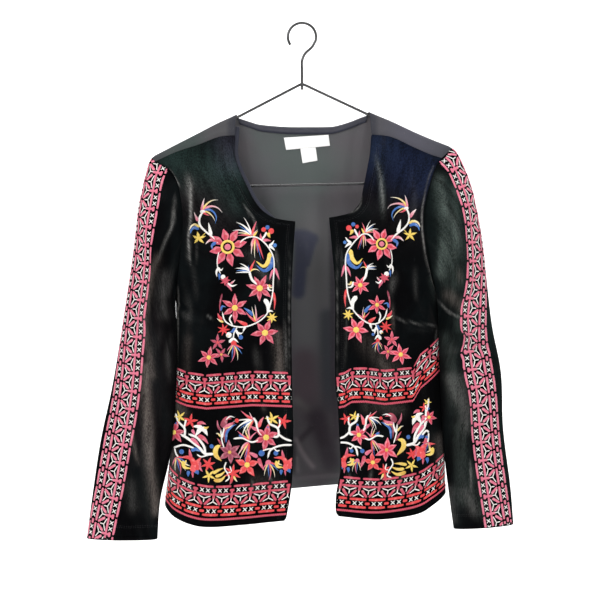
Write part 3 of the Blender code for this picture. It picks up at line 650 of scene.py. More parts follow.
# Vertex normals of every sheet, summed where sheets share a point, so seams stay closed.
def sharedNormals(sheets, downFrom, shape):
    keys = np.vstack([placeKeys(sheet["points"]) for sheet in sheets])
    _, same = np.unique(keys, axis=0, return_inverse=True)
    same = same.ravel()
    sums = np.zeros((same.max() + 1, 3))
    start = 0
    for sheet in sheets:
        points, faces = sheet[shape], sheet["faces"]
        a, b, c, d = (points[faces[:, corner]] for corner in range(4))
        normal = np.cross(c - a, d - b)
        for corner in range(4):
            np.add.at(sums, same[start + faces[:, corner]], normal)
        start += len(points)
    sums = unit(sums)
    start = 0
    for sheet in sheets:
        count = len(sheet["points"])
        normals = sums[same[start:start + count]].copy()
        weights = np.array([downFrom.get(tuple(key), 0.0) for key in placeKeys(sheet["points"])])[:, None]
        normals = normals * (1 - weights) + np.array((0, 0, -1.0)) * weights
        sheet["normals"] = unit(normals)
        sheet["underarm"] = weights.ravel()
        start += count


def rimEdges(faces):
    edges = np.vstack([faces[:, [corner, (corner + 1) % 4]] for corner in range(4)])
    known = {tuple(edge) for edge in edges}
    return [edge for edge in known if (edge[1], edge[0]) not in known]


# Which way each rim point looks past the edge of its sheet.
def rimWays(sheet):
    points, faces, normals = sheet["lifted"], sheet["faces"], sheet["normals"]
    middles = {}
    for face in faces:
        middle = points[face].mean(axis=0)
        for corner in range(4):
            middles[(face[corner], face[(corner + 1) % 4])] = middle
    ways = {}
    for start, stop in rimEdges(faces):
        line = unit(points[stop] - points[start])
        inward = middles[(start, stop)] - points[start]
        for index in (start, stop):
            aside = unit(np.cross(normals[index], line))
            ways.setdefault(index, []).append(aside * -np.sign(aside.dot(inward)))
    return {index: unit(sum(each)) for index, each in ways.items()}


def newObject(name, data):
    item = bpy.data.objects.new(name, data)
    bpy.context.scene.collection.objects.link(item)
    return item


def newPiece(name, points, faces, material, maps=None, values=None, wrap=None):
    mesh = bpy.data.meshes.new(name)
    mesh.from_pydata(np.asarray(points).tolist(), [], [list(map(int, face)) for face in faces])
    corners = np.zeros(len(mesh.loops), np.int32)
    mesh.loops.foreach_get("vertex_index", corners)
    for label, coordinates in (maps or {}).items():
        layer = mesh.uv_layers.new(name=label)
        flat = np.asarray(coordinates, np.float32)[corners]
        # On a tube, a face that crosses the map's seam takes all its corners from one side.
        if wrap is not None and label == "cloth":
            turns, length = flat[:, 0].reshape(-1, 4), wrap[corners].reshape(-1, 4)
            low = turns < turns.max(axis=1, keepdims=True) - length * 0.5
            flat[:, 0] += np.where(low, length, 0).ravel()
        layer.data.foreach_set("uv", flat.ravel())
    for label, (kind, data) in (values or {}).items():
        layer = mesh.attributes.new(label, kind, "POINT")
        field = {"FLOAT": "value", "FLOAT_VECTOR": "vector", "FLOAT_COLOR": "color"}[kind]
        layer.data.foreach_set(field, np.asarray(data, np.float32).ravel())
    if material:
        mesh.materials.append(material)
    mesh.shade_smooth()
    mesh.update()
    return newObject(name, mesh)


# Closes a sheet into a thin wall. Free edges are thicker and round, as a turned hem is.
def clothPiece(name, sheet, thickness, material, pull, way):
    points, faces, normals = sheet["lifted"].copy(), sheet["faces"], sheet["normals"]
    under, free = sheet["underarm"], sheet["free"]
    ways = rimWays(sheet)
    for index, aside in ways.items():
        if under[index] > 0.1:
            points[index, 0] += way * np.sign(points[index, 0]) * pull
        elif not free[index]:
            points[index] -= aside * pull
    wall = thickness + (body["hem wall"] - thickness) * sheet["hem share"]
    inner = points - normals * wall[:, None]
    count = len(points)
    rim = sorted(ways)
    middleOf = {index: 2 * count + place for place, index in enumerate(rim)}
    bulge = np.array([ways[index] * (wall[index] * 0.42 * free[index]) for index in rim])
    middle = (points[rim] + inner[rim]) / 2 + bulge
    solid = [list(face) for face in faces] + [[index + count for index in face[::-1]] for face in faces]
    for start, stop in rimEdges(faces):
        solid.append([stop, start, middleOf[start], middleOf[stop]])
        solid.append([middleOf[stop], middleOf[start], start + count, stop + count])
    maps = {label: np.vstack([m, m, m[rim]]) for label, m in sheet["maps"].items()}
    # The inner face takes its own colours: painted shadows and painted light inside the back, none
    # elsewhere.
    insideShadeShare, insideShadeTone = sheet.get("inside", (sheet["crush"] * 0, sheet["tone"] * 0))
    crush = np.concatenate([sheet["crush"], insideShadeShare, sheet["crush"][rim]])
    tone = np.vstack([sheet["tone"], insideShadeTone, sheet["tone"][rim]])
    tone = np.hstack([tone, np.ones((len(tone), 1))])
    wrap = sheet.get("wrap")
    if wrap is not None:
        wrap = np.concatenate([wrap, wrap, wrap[rim]])
    return newPiece(name, np.vstack([points, inner, middle]) * mm, solid, material, maps,
                    {"crush": ("FLOAT", crush), "tone": ("FLOAT_COLOR", tone)}, wrap)


# A one-sided copy of a sheet, on which threads are laid. It is removed once they are.
def layingGuide(sheet):
    faces = sheet["faces"]
    if "wrap" in sheet:
        turns = sheet["maps"]["cloth"][:, 0][faces]
        faces = faces[turns.max(axis=1) - turns.min(axis=1) < 0.03]
    guide = newPiece("guide", sheet["lifted"] * mm, faces, None, sheet["maps"],
                     {"outward": ("FLOAT_VECTOR", sheet["normals"])})
    guide.hide_render = True
    return guide


# The sheets. Creases are listed: half width, rise, then x and z of each place, all in mm.
# A ridge catches the light, so it gets a painted highlight in the velvet's colour.

creases = {
    "right": (
        (4, -2, -176, -198, -164, -220), (6, 3.2, -152, -206, -149, -240, -149, -275, -153, -312),
        (6, -2.4, -139, -212, -137, -260, -142, -330), (8, 1.6, -119, -205, -116, -250, -121, -300),
        (3.5, -1.8, -178, -372, -150, -386, -118, -393), (6, 1.6, -176, -384, -146, -398, -122, -404),
        (8, 1.8, -160, -330, -153, -380, -156, -450), (7, -1.5, -96, -420, -100, -480, -97, -540),
        (9, 1.6, -40, -350, -38, -420, -44, -470), (5, 1.4, -152, -590, -147, -620, -150, -655),
        (5, -1.4, -112, -600, -116, -630, -113, -664), (4, 1.3, -66, -588, -62, -612, -70, -640),
        (6, 1.5, -30, -560, -33, -600, -28, -650)),
    "left": (
        (5, 2.8, 98, -168, 103, -205, 107, -243, 109, -268), (7, -2.2, 116, -172, 121, -230, 119, -300),
        (7, 1.8, 111, -290, 116, -350, 124, -440), (7, 2, 146, -190, 150, -240, 146, -300),
        (3.5, -1.8, 180, -400, 152, -400, 126, -397), (6, 1.5, 181, -412, 155, -413, 130, -409),
        (8, 1.5, 62, -300, 60, -350, 66, -420), (7, 1.6, 168, -430, 163, -480, 168, -540),
        (6, -1.5, 90, -560, 86, -600, 92, -650), (5, 1.4, 128, -575, 132, -610, 128, -650),
        (5, 1.3, 66, -570, 70, -600, 64, -645)),
    "back": (
        (11, 2.6, -60, -180, -56, -260, -64, -380, -52, -500), (12, -2.2, 12, -170, 18, -280, 8, -420),
        (4, -2.2, -8, -566, 3, -587, 15, -603), (9, 2.4, 20, -536, 30, -565, 40, -597),
        (10, 2.4, 70, -190, 76, -300, 66, -440, 74, -560), (9, -2, -110, -230, -104, -330, -112, -470),
        (9, 2.2, 130, -240, 122, -340, 130, -480), (8, 2, -150, -400, -140, -430, -118, -450),
        (9, -2, -10, -480, -16, -560, -8, -622), (9, 1.8, 100, -500, 106, -560, 98, -612),
        (8, -1.8, 158, -400, 146, -440, 120, -462)),
    # On a sleeve the places are turns of the ring and shares of its length.
    "sleeve right": (
        (6, 3, 0.385, 0.03, 0.37, 0.1, 0.33, 0.16, 0.27, 0.23),
        (7, -2.2, 0.3, 0.02, 0.29, 0.09, 0.25, 0.17),
        (8, 3, 0.27, 0.55, 0.315, 0.68, 0.345, 0.8, 0.43, 0.96),
        (6, -2.4, 0.36, 0.52, 0.39, 0.66, 0.41, 0.78), (5, 2, 0.24, 0.7, 0.255, 0.8, 0.26, 0.86),
        (7, 1.8, 0.33, 0.28, 0.3, 0.38, 0.31, 0.47), (7, -2.4, 0.42, 0.24, 0.4, 0.33, 0.34, 0.42),
        (8, 2.2, 0.62, 0.1, 0.66, 0.25, 0.62, 0.42), (8, -2.2, 0.74, 0.35, 0.7, 0.52, 0.73, 0.7),
        (8, 2.2, 0.6, 0.55, 0.66, 0.68, 0.64, 0.9), (6, -1.6, 0.86, 0.1, 0.83, 0.22, 0.87, 0.34)),
    "sleeve left": (
        (7, 2.4, 0.19, 0.02, 0.21, 0.1, 0.2, 0.2), (7, -2.2, 0.3, 0.03, 0.31, 0.12, 0.28, 0.22),
        (5, -2.6, 0.42, 0.3, 0.33, 0.335, 0.24, 0.37, 0.16, 0.4),
        (6, 2.2, 0.43, 0.34, 0.35, 0.37, 0.27, 0.41), (7, 2.2, 0.36, 0.46, 0.31, 0.58, 0.33, 0.72),
        (7, -2, 0.27, 0.5, 0.25, 0.62, 0.27, 0.76), (6, 1.8, 0.36, 0.74, 0.33, 0.84, 0.36, 0.95),
        (8, 2.2, 0.62, 0.12, 0.67, 0.28, 0.61, 0.44), (8, -2.2, 0.73, 0.4, 0.69, 0.56, 0.74, 0.74),
        (8, 2.2, 0.6, 0.6, 0.65, 0.72, 0.63, 0.92)),
}


# Painted highlights and painted sheen on the velvet, by tint: half width, strength, then x and z of
# each place, all as seen in front. Pale tints are painted highlights, the dark ones painted sheen.
paintedSheen = {"front_right": {
    "green": ((32, 1, -165, -185, -120, -200), (16, 0.8, -95, -205, -88, -245)),
    "plum": ((18, 1, -100, -165, -98, -190),),
    "umber": ((30, 0.8, -145, -232, -115, -262),),
    "silver": ((4.5, 0.55, -153, -205, -150, -222, -149, -236),
        (1.7, 1.1, -149, -216, -149, -268, -151, -292, -148, -326), (3, 0.24, -149, -292, -151, -322),
        (2, 0.12, -139, -292, -140, -325), (3.5, 0.09, -146, -322, -143, -345, -141, -372),
        (3.5, 0.08, -150, -368, -148, -408), (1.5, 0.75, -177, -197, -163, -221),
        (1.7, 0.6, -166, -355, -166, -372, -167, -400, -167, -462), (1.6, 0.45, -127, -393, -119, -398),
        (2.2, 0.36, -23, -400, -21, -440, -21, -467), (1.5, 0.34, -16, -300, -17, -380, -17, -466),
        (2.2, 0.2, -33, -307, -31, -356), (4.5, 0.14, -61, -436, -57, -466),
        (9, 0.1, -72, -312, -60, -326), (5, 0.22, -54, -336, -46, -343),
        (2.4, 0.34, -152, -612, -143, -634), (2.4, 0.28, -119, -620, -112, -634),
        (2, 0.28, -66, -608, -65, -628), (2, 0.34, -47, -600, -38, -614),
        (1.4, 0.5, -75, -249, -69, -257, -63, -268, -60, -286),
        (1.4, 0.3, -79, -243, -72, -255, -71, -263), (1.6, 0.3, -36, -303, -33, -324)),
    "brown": ((6, 0.13, -152, -425, -154, -464), (6.5, 0.46, -33, -418, -31, -440, -30, -467),
        (7, 0.34, -168, -511, -158, -523), (8, 0.34, -174, -580, -169, -604, -173, -632),
        (9, 0.12, -60, -610, -38, -616), (3, 0.25, -52, -508, -50, -520)),
}, "front_left": {
    "navy": ((30, 1, 105, -165, 165, -195), (26, 0.5, 100, -200, 150, -225)),
    "umber": ((30, 0.5, 110, -240, 150, -262),),
    "moss": ((4, 0.3, 99, -180, 104, -201, 107, -226, 108, -262), (7, 0.22, 178, -345, 184, -368)),
    "silver": ((1.7, 0.4, 101, -188, 105, -206, 107, -230, 108, -256), (4.2, 0.26, 124, -338, 118, -363),
        (1.7, 0.75, 176, -194, 169, -210, 165, -226, 160, -252, 159, -270, 160, -288, 164, -316, 170,
            -335, 177, -354),
        (1.4, 0.44, 124, -396, 139, -401, 156, -404, 181, -408), (1.8, 0.35, 181, -410, 179, -428),
        (1.5, 0.42, 46, -296, 47, -380, 47, -470), (2.4, 0.14, 57, -330, 59, -400, 56, -460),
        (2, 0.16, 52, -300, 54, -345), (3, 0.12, 150, -330, 152, -372), (2.4, 0.28, 92, -596, 88, -622),
        (2.2, 0.28, 132, -602, 128, -624), (2.2, 0.24, 62, -600, 66, -620),
        (1.2, 0.4, 80, -233, 77, -247, 68, -255, 56, -257)),
    "brown": ((2.6, 0.34, 120, -378, 121, -415), (13, 0.16, 84, -430, 104, -450, 118, -463),
        (8, 0.2, 106, -454, 114, -464), (9, 0.17, 87, -512, 130, -518), (8, 0.28, 184, -560, 188, -604)),
}, "sleeve_right": {
    "umber": ((30, 0.5, -205, -400, -205, -560),),
    "silver": ((2.6, 0.6, -170, -236, -171, -256, -173, -276, -180, -292, -190, -320),
        (7, 0.15, -184, -340, -187, -366, -184, -392), (9, 0.13, -230, -618, -224, -646),
        (4, 0.14, -176, -420, -178, -450, -176, -480)),
    "brown": ((5, 0.42, -191, -318, -199, -340, -206, -380, -208, -410, -203, -445, -198, -472),
        (6, 0.64, -208, -462, -206, -505, -204, -542, -203, -579, -200, -616, -195, -656),
        (3, 0.5, -228, -540, -223, -567, -217, -590)),
}, "sleeve_left": {
    "green": ((40, 0.6, 212, -240, 240, -400), (8, 0.5, 258, -470, 264, -560, 272, -640)),
    "moss": ((7.5, 0.3, 184, -212, 186, -249, 190, -278, 190, -306, 186, -336),
        (6.5, 0.18, 203, -226, 205, -270, 204, -310), (9, 0.17, 194, -424, 200, -470, 205, -520),
        (7, 0.16, 207, -400, 222, -440), (10, 0.18, 208, -540, 213, -590, 214, -640),
        (8, 0.16, 232, -600, 240, -660), (12, 0.15, 194, -300, 203, -350),
        (3.5, 0.26, 188, -230, 192, -262), (3.5, 0.24, 199, -262, 203, -300, 200, -330),
        (3, 0.28, 186, -290, 183, -330, 188, -352)),
    "brown": ((7.5, 0.34, 196, -366, 213, -382), (4, 0.26, 208, -330, 210, -352)),
    "silver": ((1.8, 0.55, 183, -374, 196, -389, 214, -398), (9, 0.2, 206, -478, 215, -508, 222, -540),
        (1.7, 0.5, 223, -584, 225, -626), (8, 0.22, 217, -630, 230, -652), (6, 0.18, 198, -626, 202, -668),
        (6, 0.18, 195, -476, 204, -506)),
}}


# Distance of each place from a line, and how far along it the nearest point lies.
def lineGap(line, across, down, sizes=(1, 1)):
    cuts = 48
    path = along(np.array(line, float).reshape(-1, 2) * sizes, even(cuts))
    near = np.full(across.shape, 1e9)
    share = np.zeros_like(across)
    for index, (x, z) in enumerate(path):
        gap = np.hypot(across * sizes[0] - x, down * sizes[1] - z)
        closer = gap < near
        near, share = np.where(closer, gap, near), np.where(closer, index / cuts, share)
    return near, share


def creaseRise(rows, across, down, sizes=(1, 1)):
    rise = np.zeros_like(across)
    for width, height, *line in rows:
        near, share = lineGap(line, across, down, sizes)
        taper = np.sin(np.pi * np.clip(share, 0.02, 0.98))**0.7
        ridge = np.exp(-(near / width)**2) - 0.35 * np.exp(-(near / width / 2.2)**2)
        rise += height * 1.35 * ridge * taper
    return rise


# How the velvet's painted highlights are drawn.
pile = {
    "ridge": 3.4,  # rise of a crease whose ridge gets the full painted highlight
    "rubbed": 0.4,
    "silver": 0.14,
    "line": 3,  # strokes narrower than this are drawn finer and brighter
    "finer": 0.78,
    "brighter": 1.15,
    "tapers": 5,  # and those narrower than this fade out at their ends
}


# Colour of the painted highlights and painted sheen, and the share that takes a stronger sheen.
# Crease ridges get a painted highlight too.
def paintedSheenTone(tinted, x, z, rise, shows):
    ridge = np.clip(rise / pile["ridge"], 0, 1)**2
    rubbed = ridge * pile["rubbed"]
    tone = ridge[..., None] * np.array(paintedSheenTints["silver"]) * pile["silver"]
    for tint, rows in tinted.items():
        for width, strength, *line in rows:
            near, share = lineGap(line, x, z)
            if width < pile["line"]:
                width, strength = width * pile["finer"], strength * pile["brighter"]
            paintedHighlight = strength * np.exp(-(near / width)**2) * shows
            if width < pile["tapers"]:
                paintedHighlight = paintedHighlight * np.sin(np.pi * np.clip(share, 0.03, 0.97))**0.6
            tone += paintedHighlight[..., None] * np.array(paintedSheenTints[tint])
            rubbed += paintedHighlight * (paintedSheenTints[tint][0] > 0.1)
    return tone, np.clip(rubbed, 0, 1)


seam = {"dip": 1.0, "width": 3.2, "clear": 14, "hem": 16, "edge": 9}
# Embroidery puckers the velvet between these heights: rise, and lengths of the waves.
puckered = {"from": 8, "to": 196, "rise": 0.35, "out": 3.1, "up": 29, "sway": 37}


def sheetOf(grid, faces, maps, free, hemShare, seamGap, rise, sheenRows=None, shows=1.0):
    shape = grid.shape[0] * grid.shape[1]
    tone, rubbed = paintedSheenTone(sheenRows or {}, grid[:, :, 0], grid[:, :, 2], rise, shows)
    fade = softStep(seamGap / seam["clear"])
    lift = rise * fade - seam["dip"] * np.exp(-(seamGap / seam["width"])**2)
    return {"points": grid.reshape(-1, 3), "faces": faces, "free": free.reshape(shape),
            "maps": {label: m.reshape(shape, 2) for label, m in maps.items()},
            "hem share": hemShare.reshape(shape), "lift": lift.reshape(shape),
            "crush": rubbed.reshape(shape), "tone": tone.reshape(shape, 3)}


def nearShare(gap, width):
    return 1 - softStep((gap - width + 2) / 3)


# The upper band's rope as X and Z, and the places where folds squeeze its pattern: distance from
# the front edge, extra length, half width. Least is the smallest share of a step in the flat view.
belt = {
    "least": 0.35,
    "origin": 100.0,
    "right": {
        "rope": ((-175, -505), (-170, -507.5), (-154, -513), (-127, -516.8), (-93, -513.6), (-66, -511),
            (-14, -513)),
        "pinches": ((84, 7, 8),),
    },
    "left": {
        "rope": ((48, -514.6), (56, -513), (65.5, -507), (84, -506.5), (110, -510), (148, -506.5),
            (158, -489), (173.6, -476.6), (185, -466.4)),
        "pinches": ((52, 13, 10), (14, 5, 6)),
    },
}
viewOrigin = (300, 800)  # keeps the flat view's map positive, in mm


def frontSheet(side):
    grid = frontGrid(side)
    rows, columns = grid.shape[:2]
    outAlong, down = distances(grid, 1), distances(grid, 0)
    fromSide, up = outAlong[:, -1:] - outAlong, down[-1:] - down
    free = np.zeros((rows, columns))
    free[:, 0] = free[-1] = 1
    free[0] = free[:, -1] = 0
    seamGap = np.minimum(fromSide, down)
    rise = creaseRise(creases[side], grid[:, :, 0], grid[:, :, 2])
    band = (up > puckered["from"]) & (up < puckered["to"])
    waves = np.sin(outAlong / puckered["out"] + np.sin(up / puckered["sway"]) * 3)
    rise += np.where(band, puckered["rise"] * waves * np.sin(up / puckered["up"]), 0)
    look = belt[side]
    steps = np.diff(grid[:, :, 0], axis=1)
    steps = np.sign(steps) * np.maximum(np.abs(steps), np.diff(outAlong, axis=1) * belt["least"])
    flatX = grid[:, :1, 0] + steps @ np.triu(np.ones((columns - 1, columns)), 1)
    squeezed = outAlong.copy()
    for place, extra, width in look["pinches"]:
        squeezed += extra * (0.5 + 0.5 * np.tanh((outAlong - place) / width))
    rope = np.interp(grid[:, :, 0], *np.array(look["rope"], float).T)
    maps = {"cloth": np.stack([outAlong, up], axis=2) * mm,
            "view": (np.stack([flatX, grid[:, :, 2]], axis=2) + viewOrigin) * mm,
            "belt": np.stack([squeezed, grid[:, :, 2] - rope + belt["origin"]], axis=2) * mm}
    hemShare = np.maximum(nearShare(outAlong, seam["edge"]), nearShare(up, seam["hem"]))
    faces = gridFaces(rows, columns)
    return sheetOf(grid, faces[:, ::-1] if side == "right" else faces, maps, free, hemShare, seamGap, rise,
                   paintedSheen["front_" + side])


# Several sheets as one, with the points that they share merged.
def joined(sheets):
    fields = ("points", "free", "hem share", "lift", "crush", "tone")
    result = {"faces": []}
    start = 0
    for sheet in sheets:
        result["faces"].append(sheet["faces"] + start)
        start += len(sheet["points"])
    for label in fields:
        result[label] = np.concatenate([sheet[label] for sheet in sheets])
    result["maps"] = {label: np.vstack([sheet["maps"][label] for sheet in sheets])
                      for label in sheets[0]["maps"]}
    _, kept, same = np.unique(placeKeys(result["points"]), axis=0, return_index=True, return_inverse=True)
    result["faces"] = same.ravel()[np.vstack(result["faces"])]
    for label in fields:
        result[label] = result[label][kept]
    result["inside"] = tuple(np.concatenate([sheet["inside"][part] for sheet in sheets])[kept]
                             for part in (0, 1))
    result["maps"] = {label: m[kept] for label, m in result["maps"].items()}
    return result


# Shade of the shoulder strip in front, by distance from the middle.
shoulderShades = {
    "right": ((89, (0.02, 0.021, 0.03)), (97, (0.026, 0.027, 0.034)), (103, (0.058, 0.057, 0.06)),
        (126, (0.058, 0.057, 0.06)), (146, (0.034, 0.05, 0.045)), (175, (0.036, 0.047, 0.044)),
        (200, (0.03, 0.032, 0.036))),
    "left": ((90, (0.02, 0.021, 0.03)), (98, (0.028, 0.029, 0.038)), (104, (0.06, 0.058, 0.066)),
        (135, (0.068, 0.066, 0.086)), (160, (0.066, 0.065, 0.084)), (200, (0.036, 0.038, 0.048))),
}


# Painted shadows and painted light inside the back, seen between the fronts, laid one over another:
# half width, strength, edge (2 soft, 4 or more clear), colour, then x and z of each place.
paintedBackShadows = (
    (30, 0.85, 2, (0.15, 0.146, 0.15), 25, -285, 22, -400),
    (22, 0.85, 2, (0.15, 0.15, 0.158), 5, -377, 5, -440),
    (12, 0.9, 3, (0.046, 0.05, 0.062), 35, -396, 36, -520),
    (6, 0.9, 3, (0.036, 0.029, 0.04), 42, -268, 43, -353, 45, -472, 48, -560),
    (20, 0.9, 3, (0.094, 0.064, 0.08), 3, -456, 5, -508),
    (6, 0.75, 2, (0.16, 0.156, 0.146), -7, -512, 8, -524, 18, -531),
    (40, 0.8, 4, (0.066, 0.05, 0.06), 18, -545, 20, -600),
    (14, 0.92, 3, (0.022, 0.011, 0.02), 20, -536, 30, -565, 40, -597),
    (5, 0.95, 3, (0.01, 0.006, 0.009), -13, -570, -13, -608),
    (4.5, 0.9, 3, (0.02, 0.012, 0.018), 13, -550, 2, -561, -8, -570),
    (3.6, 0.85, 2, (0.19, 0.16, 0.17), -8, -566, 3, -587, 15, -603),
    (2.2, 0.65, 2, (0.17, 0.145, 0.155), -7, -590, -6, -609),
    (3.5, 0.7, 3, (0.13, 0.11, 0.122), -20, -619, 60, -614),
    (9, 0.97, 5, (0.042, 0.048, 0.088), -5, -284, 5, -285, 14, -289),
    (6, 0.97, 5, (0.042, 0.048, 0.088), 13, -297, 6, -322),
    (9.5, 0.97, 5, (0.042, 0.048, 0.088), -1, -293, -2, -329, -5, -362),
)


def paintShadowsInside(rows, x, z):
    crush, tone = np.zeros(x.shape), np.zeros((*x.shape, 3))
    for width, strength, edge, colour, *line in rows:
        near, _ = lineGap(line, x, z)
        over = strength * np.exp(-(near / width)**edge)
        tone = tone * (1 - over[..., None]) + np.array(colour) * over[..., None]
        crush = crush * (1 - over) + over
    return crush, tone / np.maximum(crush, 1e-6)[..., None]


def backSheet():
    grid = backGrid()
    rows, columns = grid.shape[:2]
    across, down = distances(grid, 1), distances(grid, 0)
    up = down[-1:] - down
    neck = slice(cells["front"], columns - cells["front"])
    free = np.zeros((rows, columns))
    free[-1] = free[0, neck] = 1
    free[:, 0] = free[:, -1] = 0
    seamGap = np.minimum(across, across[:, -1:] - across)
    rise = creaseRise(creases["back"], grid[:, :, 0], grid[:, :, 2])
    rise = rise * softStep(down / 25)
    cloth = np.stack([across, up], axis=2)
    main = sheetOf(grid, gridFaces(rows, columns)[:, ::-1], {"cloth": cloth * mm}, free,
                   nearShare(up, seam["hem"]), seamGap, rise)
    parts = [main]
    # Painted shadows and painted light for the inner face of the back.
    shades = paintShadowsInside(paintedBackShadows, grid[:, :, 0], grid[:, :, 2])
    main["inside"] = (shades[0].ravel(), shades[1].reshape(-1, 3))
    for side in bothSides:
        yoke = yokeGrid(side)
        tops = slice(0, cells["front"] + 1)
        if side == "left":
            tops = slice(columns - 1, columns - cells["front"] - 2, -1)
        yokeDown = distances(yoke, 0)
        maps = np.stack([np.broadcast_to(cloth[0, tops, 0], yokeDown.shape),
                         cloth[0, tops, 1] + yokeDown], axis=2)
        free = np.zeros(yoke.shape[:2])
        free[:, -1] = 1
        free[-1] = free[:, 0] = 0
        fromArmhole = distances(yoke, 1)
        seamGap = np.minimum(yokeDown[-1:] - yokeDown, fromArmhole)
        faces = gridFaces(*yoke.shape[:2])
        part = sheetOf(yoke, faces if side == "right" else faces[:, ::-1], {"cloth": maps * mm}, free,
                       np.zeros(yoke.shape[:2]), seamGap, np.zeros(yoke.shape[:2]))
        part["crush"] = softStep((yokeDown - 1) / 7).ravel()
        part["inside"] = (part["crush"] * 0, part["tone"] * 0)
        spots, shades = zip(*shoulderShades[side])
        part["tone"] = np.stack([np.interp(np.abs(yoke[:, :, 0]), spots, channel)
                                 for channel in zip(*shades)], axis=-1).reshape(-1, 3)
        parts.append(part)
    return joined(parts)


# The sleeve's band follows its outer edge. Its inner line is given as x and z in the front view.
sleeveBand = {
    "origin": 150.0,  # with the length, keeps the tube's maps positive
    "length": 520.0,
    "crease sizes": (200, 510),  # a turn and the length, in mm
    "width": 44.0,
    "beyond": 60.0,
    "inner right": ((-184, -200), (-188, -222), (-198, -310), (-206, -392), (-210, -451), (-216, -511),
        (-231, -592), (-240, -640), (-252, -690)),
    "inner left": ((180, -178), (199, -210), (214, -258), (218, -320), (210, -414), (214, -466),
        (222, -513), (227, -564), (237, -640), (242, -668)),
}


# Distance down the line and out from it, for places in the front view.
def besideLine(line, x, z):
    path = along(line, even(160))
    first, last = unit(path[0] - path[1]), unit(path[-1] - path[-2])
    reach = sleeveBand["beyond"]
    ahead = [path[0] + first * reach * share for share in (1, 0.5)]
    after = [path[-1] + last * reach * share for share in (0.5, 1)]
    path = np.vstack([ahead, path, after])
    ways = unit(np.gradient(path, axis=0))
    run = runOf(path)
    best = np.full(x.shape, 1e9)
    down, out = np.zeros_like(x), np.zeros_like(x)
    for spot, way, start in zip(path, ways, run):
        gapX, gapZ = x - spot[0], z - spot[1]
        gap = np.hypot(gapX, gapZ)
        closer = gap < best
        best = np.where(closer, gap, best)
        down = np.where(closer, start + gapX * way[0] + gapZ * way[1], down)
        out = np.where(closer, gapX * way[1] - gapZ * way[0], out)
    return down, out


# Running sum of the steps round a ring, from its outer edge: positive in front, negative behind.
def aroundRing(steps, half):
    total = np.cumsum(steps, axis=1)
    total = np.concatenate([np.zeros((len(steps), 1)), total], axis=1)
    length = total[:, -1:]
    return np.where(np.arange(steps.shape[1]) <= half, total[:, :-1], total[:, :-1] - length), length


def sleeveSheet(side):
    grid = sleeveGrid(side)
    rows, columns = grid.shape[:2]
    turns = ringTurns()
    half = sleeve["points"][0] * fine
    closedGrid = np.concatenate([grid, grid[:, :1]], axis=1)
    around, length = aroundRing(np.linalg.norm(np.diff(closedGrid, axis=1), axis=2), half)
    down = distances(grid, 0)
    downLine, out = besideLine(sleeveBand["inner " + side], closedGrid[:, :, 0], closedGrid[:, :, 2])
    out *= 1 if side == "right" else -1
    band, _ = aroundRing(np.hypot(np.diff(out, axis=1), np.diff(closedGrid[:, :, 1], axis=1)), half)
    inner = []
    for distance, past in zip(band[:, :half], out[:, :half] < 0):
        inner.append(distance[np.argmax(past)] if past.any() else distance[-1])
    inner = np.convolve(np.pad(inner, 8, mode="edge"), np.ones(17) / 17, mode="valid")
    band = band - inner[:, None] + sleeveBand["width"]
    levels = np.broadcast_to(even(rows - 1)[:, None], (rows, columns))
    places = np.broadcast_to(turns[None], (rows, columns))
    rise = creaseRise(creases["sleeve " + side], places, levels, sleeveBand["crease sizes"])
    origin = sleeveBand["origin"]
    maps = {"cloth": np.stack([around + origin, sleeveBand["length"] - down], axis=2) * mm,
            "band": np.stack([downLine[:, :-1], band + origin], axis=2) * mm,
            "cuff": np.stack([around + origin, down[-1:] - down], axis=2) * mm}
    free = np.zeros((rows, columns))
    free[-1] = 1
    faces = gridFaces(rows, columns, True)
    inFront = softStep((0.5 - places) * 30) * softStep(places * 60 + 0.5)
    sheet = sheetOf(grid, faces if side == "right" else faces[:, ::-1], maps, free,
                    nearShare(down[-1:] - down, seam["hem"]), down, rise, paintedSheen["sleeve_" + side], inFront)
    sheet["wrap"] = np.broadcast_to(length, (rows, columns)).reshape(-1) * mm
    return sheet


print("jacket: cutting the cloth")
sheets = {"front_right": frontSheet("right"), "front_left": frontSheet("left"), "back": backSheet(),
          "sleeve_right": sleeveSheet("right"), "sleeve_left": sleeveSheet("left")}
underarm = {}
underarmTop = -325.0  # below it the seam of the armhole turns to face the floor
for side in bothSides:
    ring = armholeRing(side)
    for key, z in zip(placeKeys(ring), ring[:, 2]):
        if z < underarmTop:
            underarm[tuple(key)] = float(softStep((underarmTop - z) / 40))
sharedNormals(list(sheets.values()), underarm, "points")
for sheet in sheets.values():
    sheet["lifted"] = sheet["points"] + sheet["normals"] * sheet["lift"][:, None]
sharedNormals(list(sheets.values()), underarm, "lifted")


# Tapes and labels: small sheets that lie inside the neck

trims = {
    "cells": 8,  # coarse cells of the front's neck edge that the facing follows
    "under": 6.0,
    "shows": 5.6,
    "behind velvet": 2.4,
    "behind knit": 2.1,
    "rolls in": (2.4, 1.6),  # how far the facing's inner edge drops, and how late
    "tape": 0.8,
    "back drops": (0.8, 9.5),
    "navy edge": 2.0,
    "back tone": (0.056, 0.054, 0.058),
    "label lift": 1.1,
    "ribbon": 0.6,
    "main": ((-24.5, -151.5), (36, -147.7), (38, -162), (-21.5, -167.5)),
    "size": ((-2, -166.2), (18.5, -164.5), (21, -182), (1, -185.5)),
}


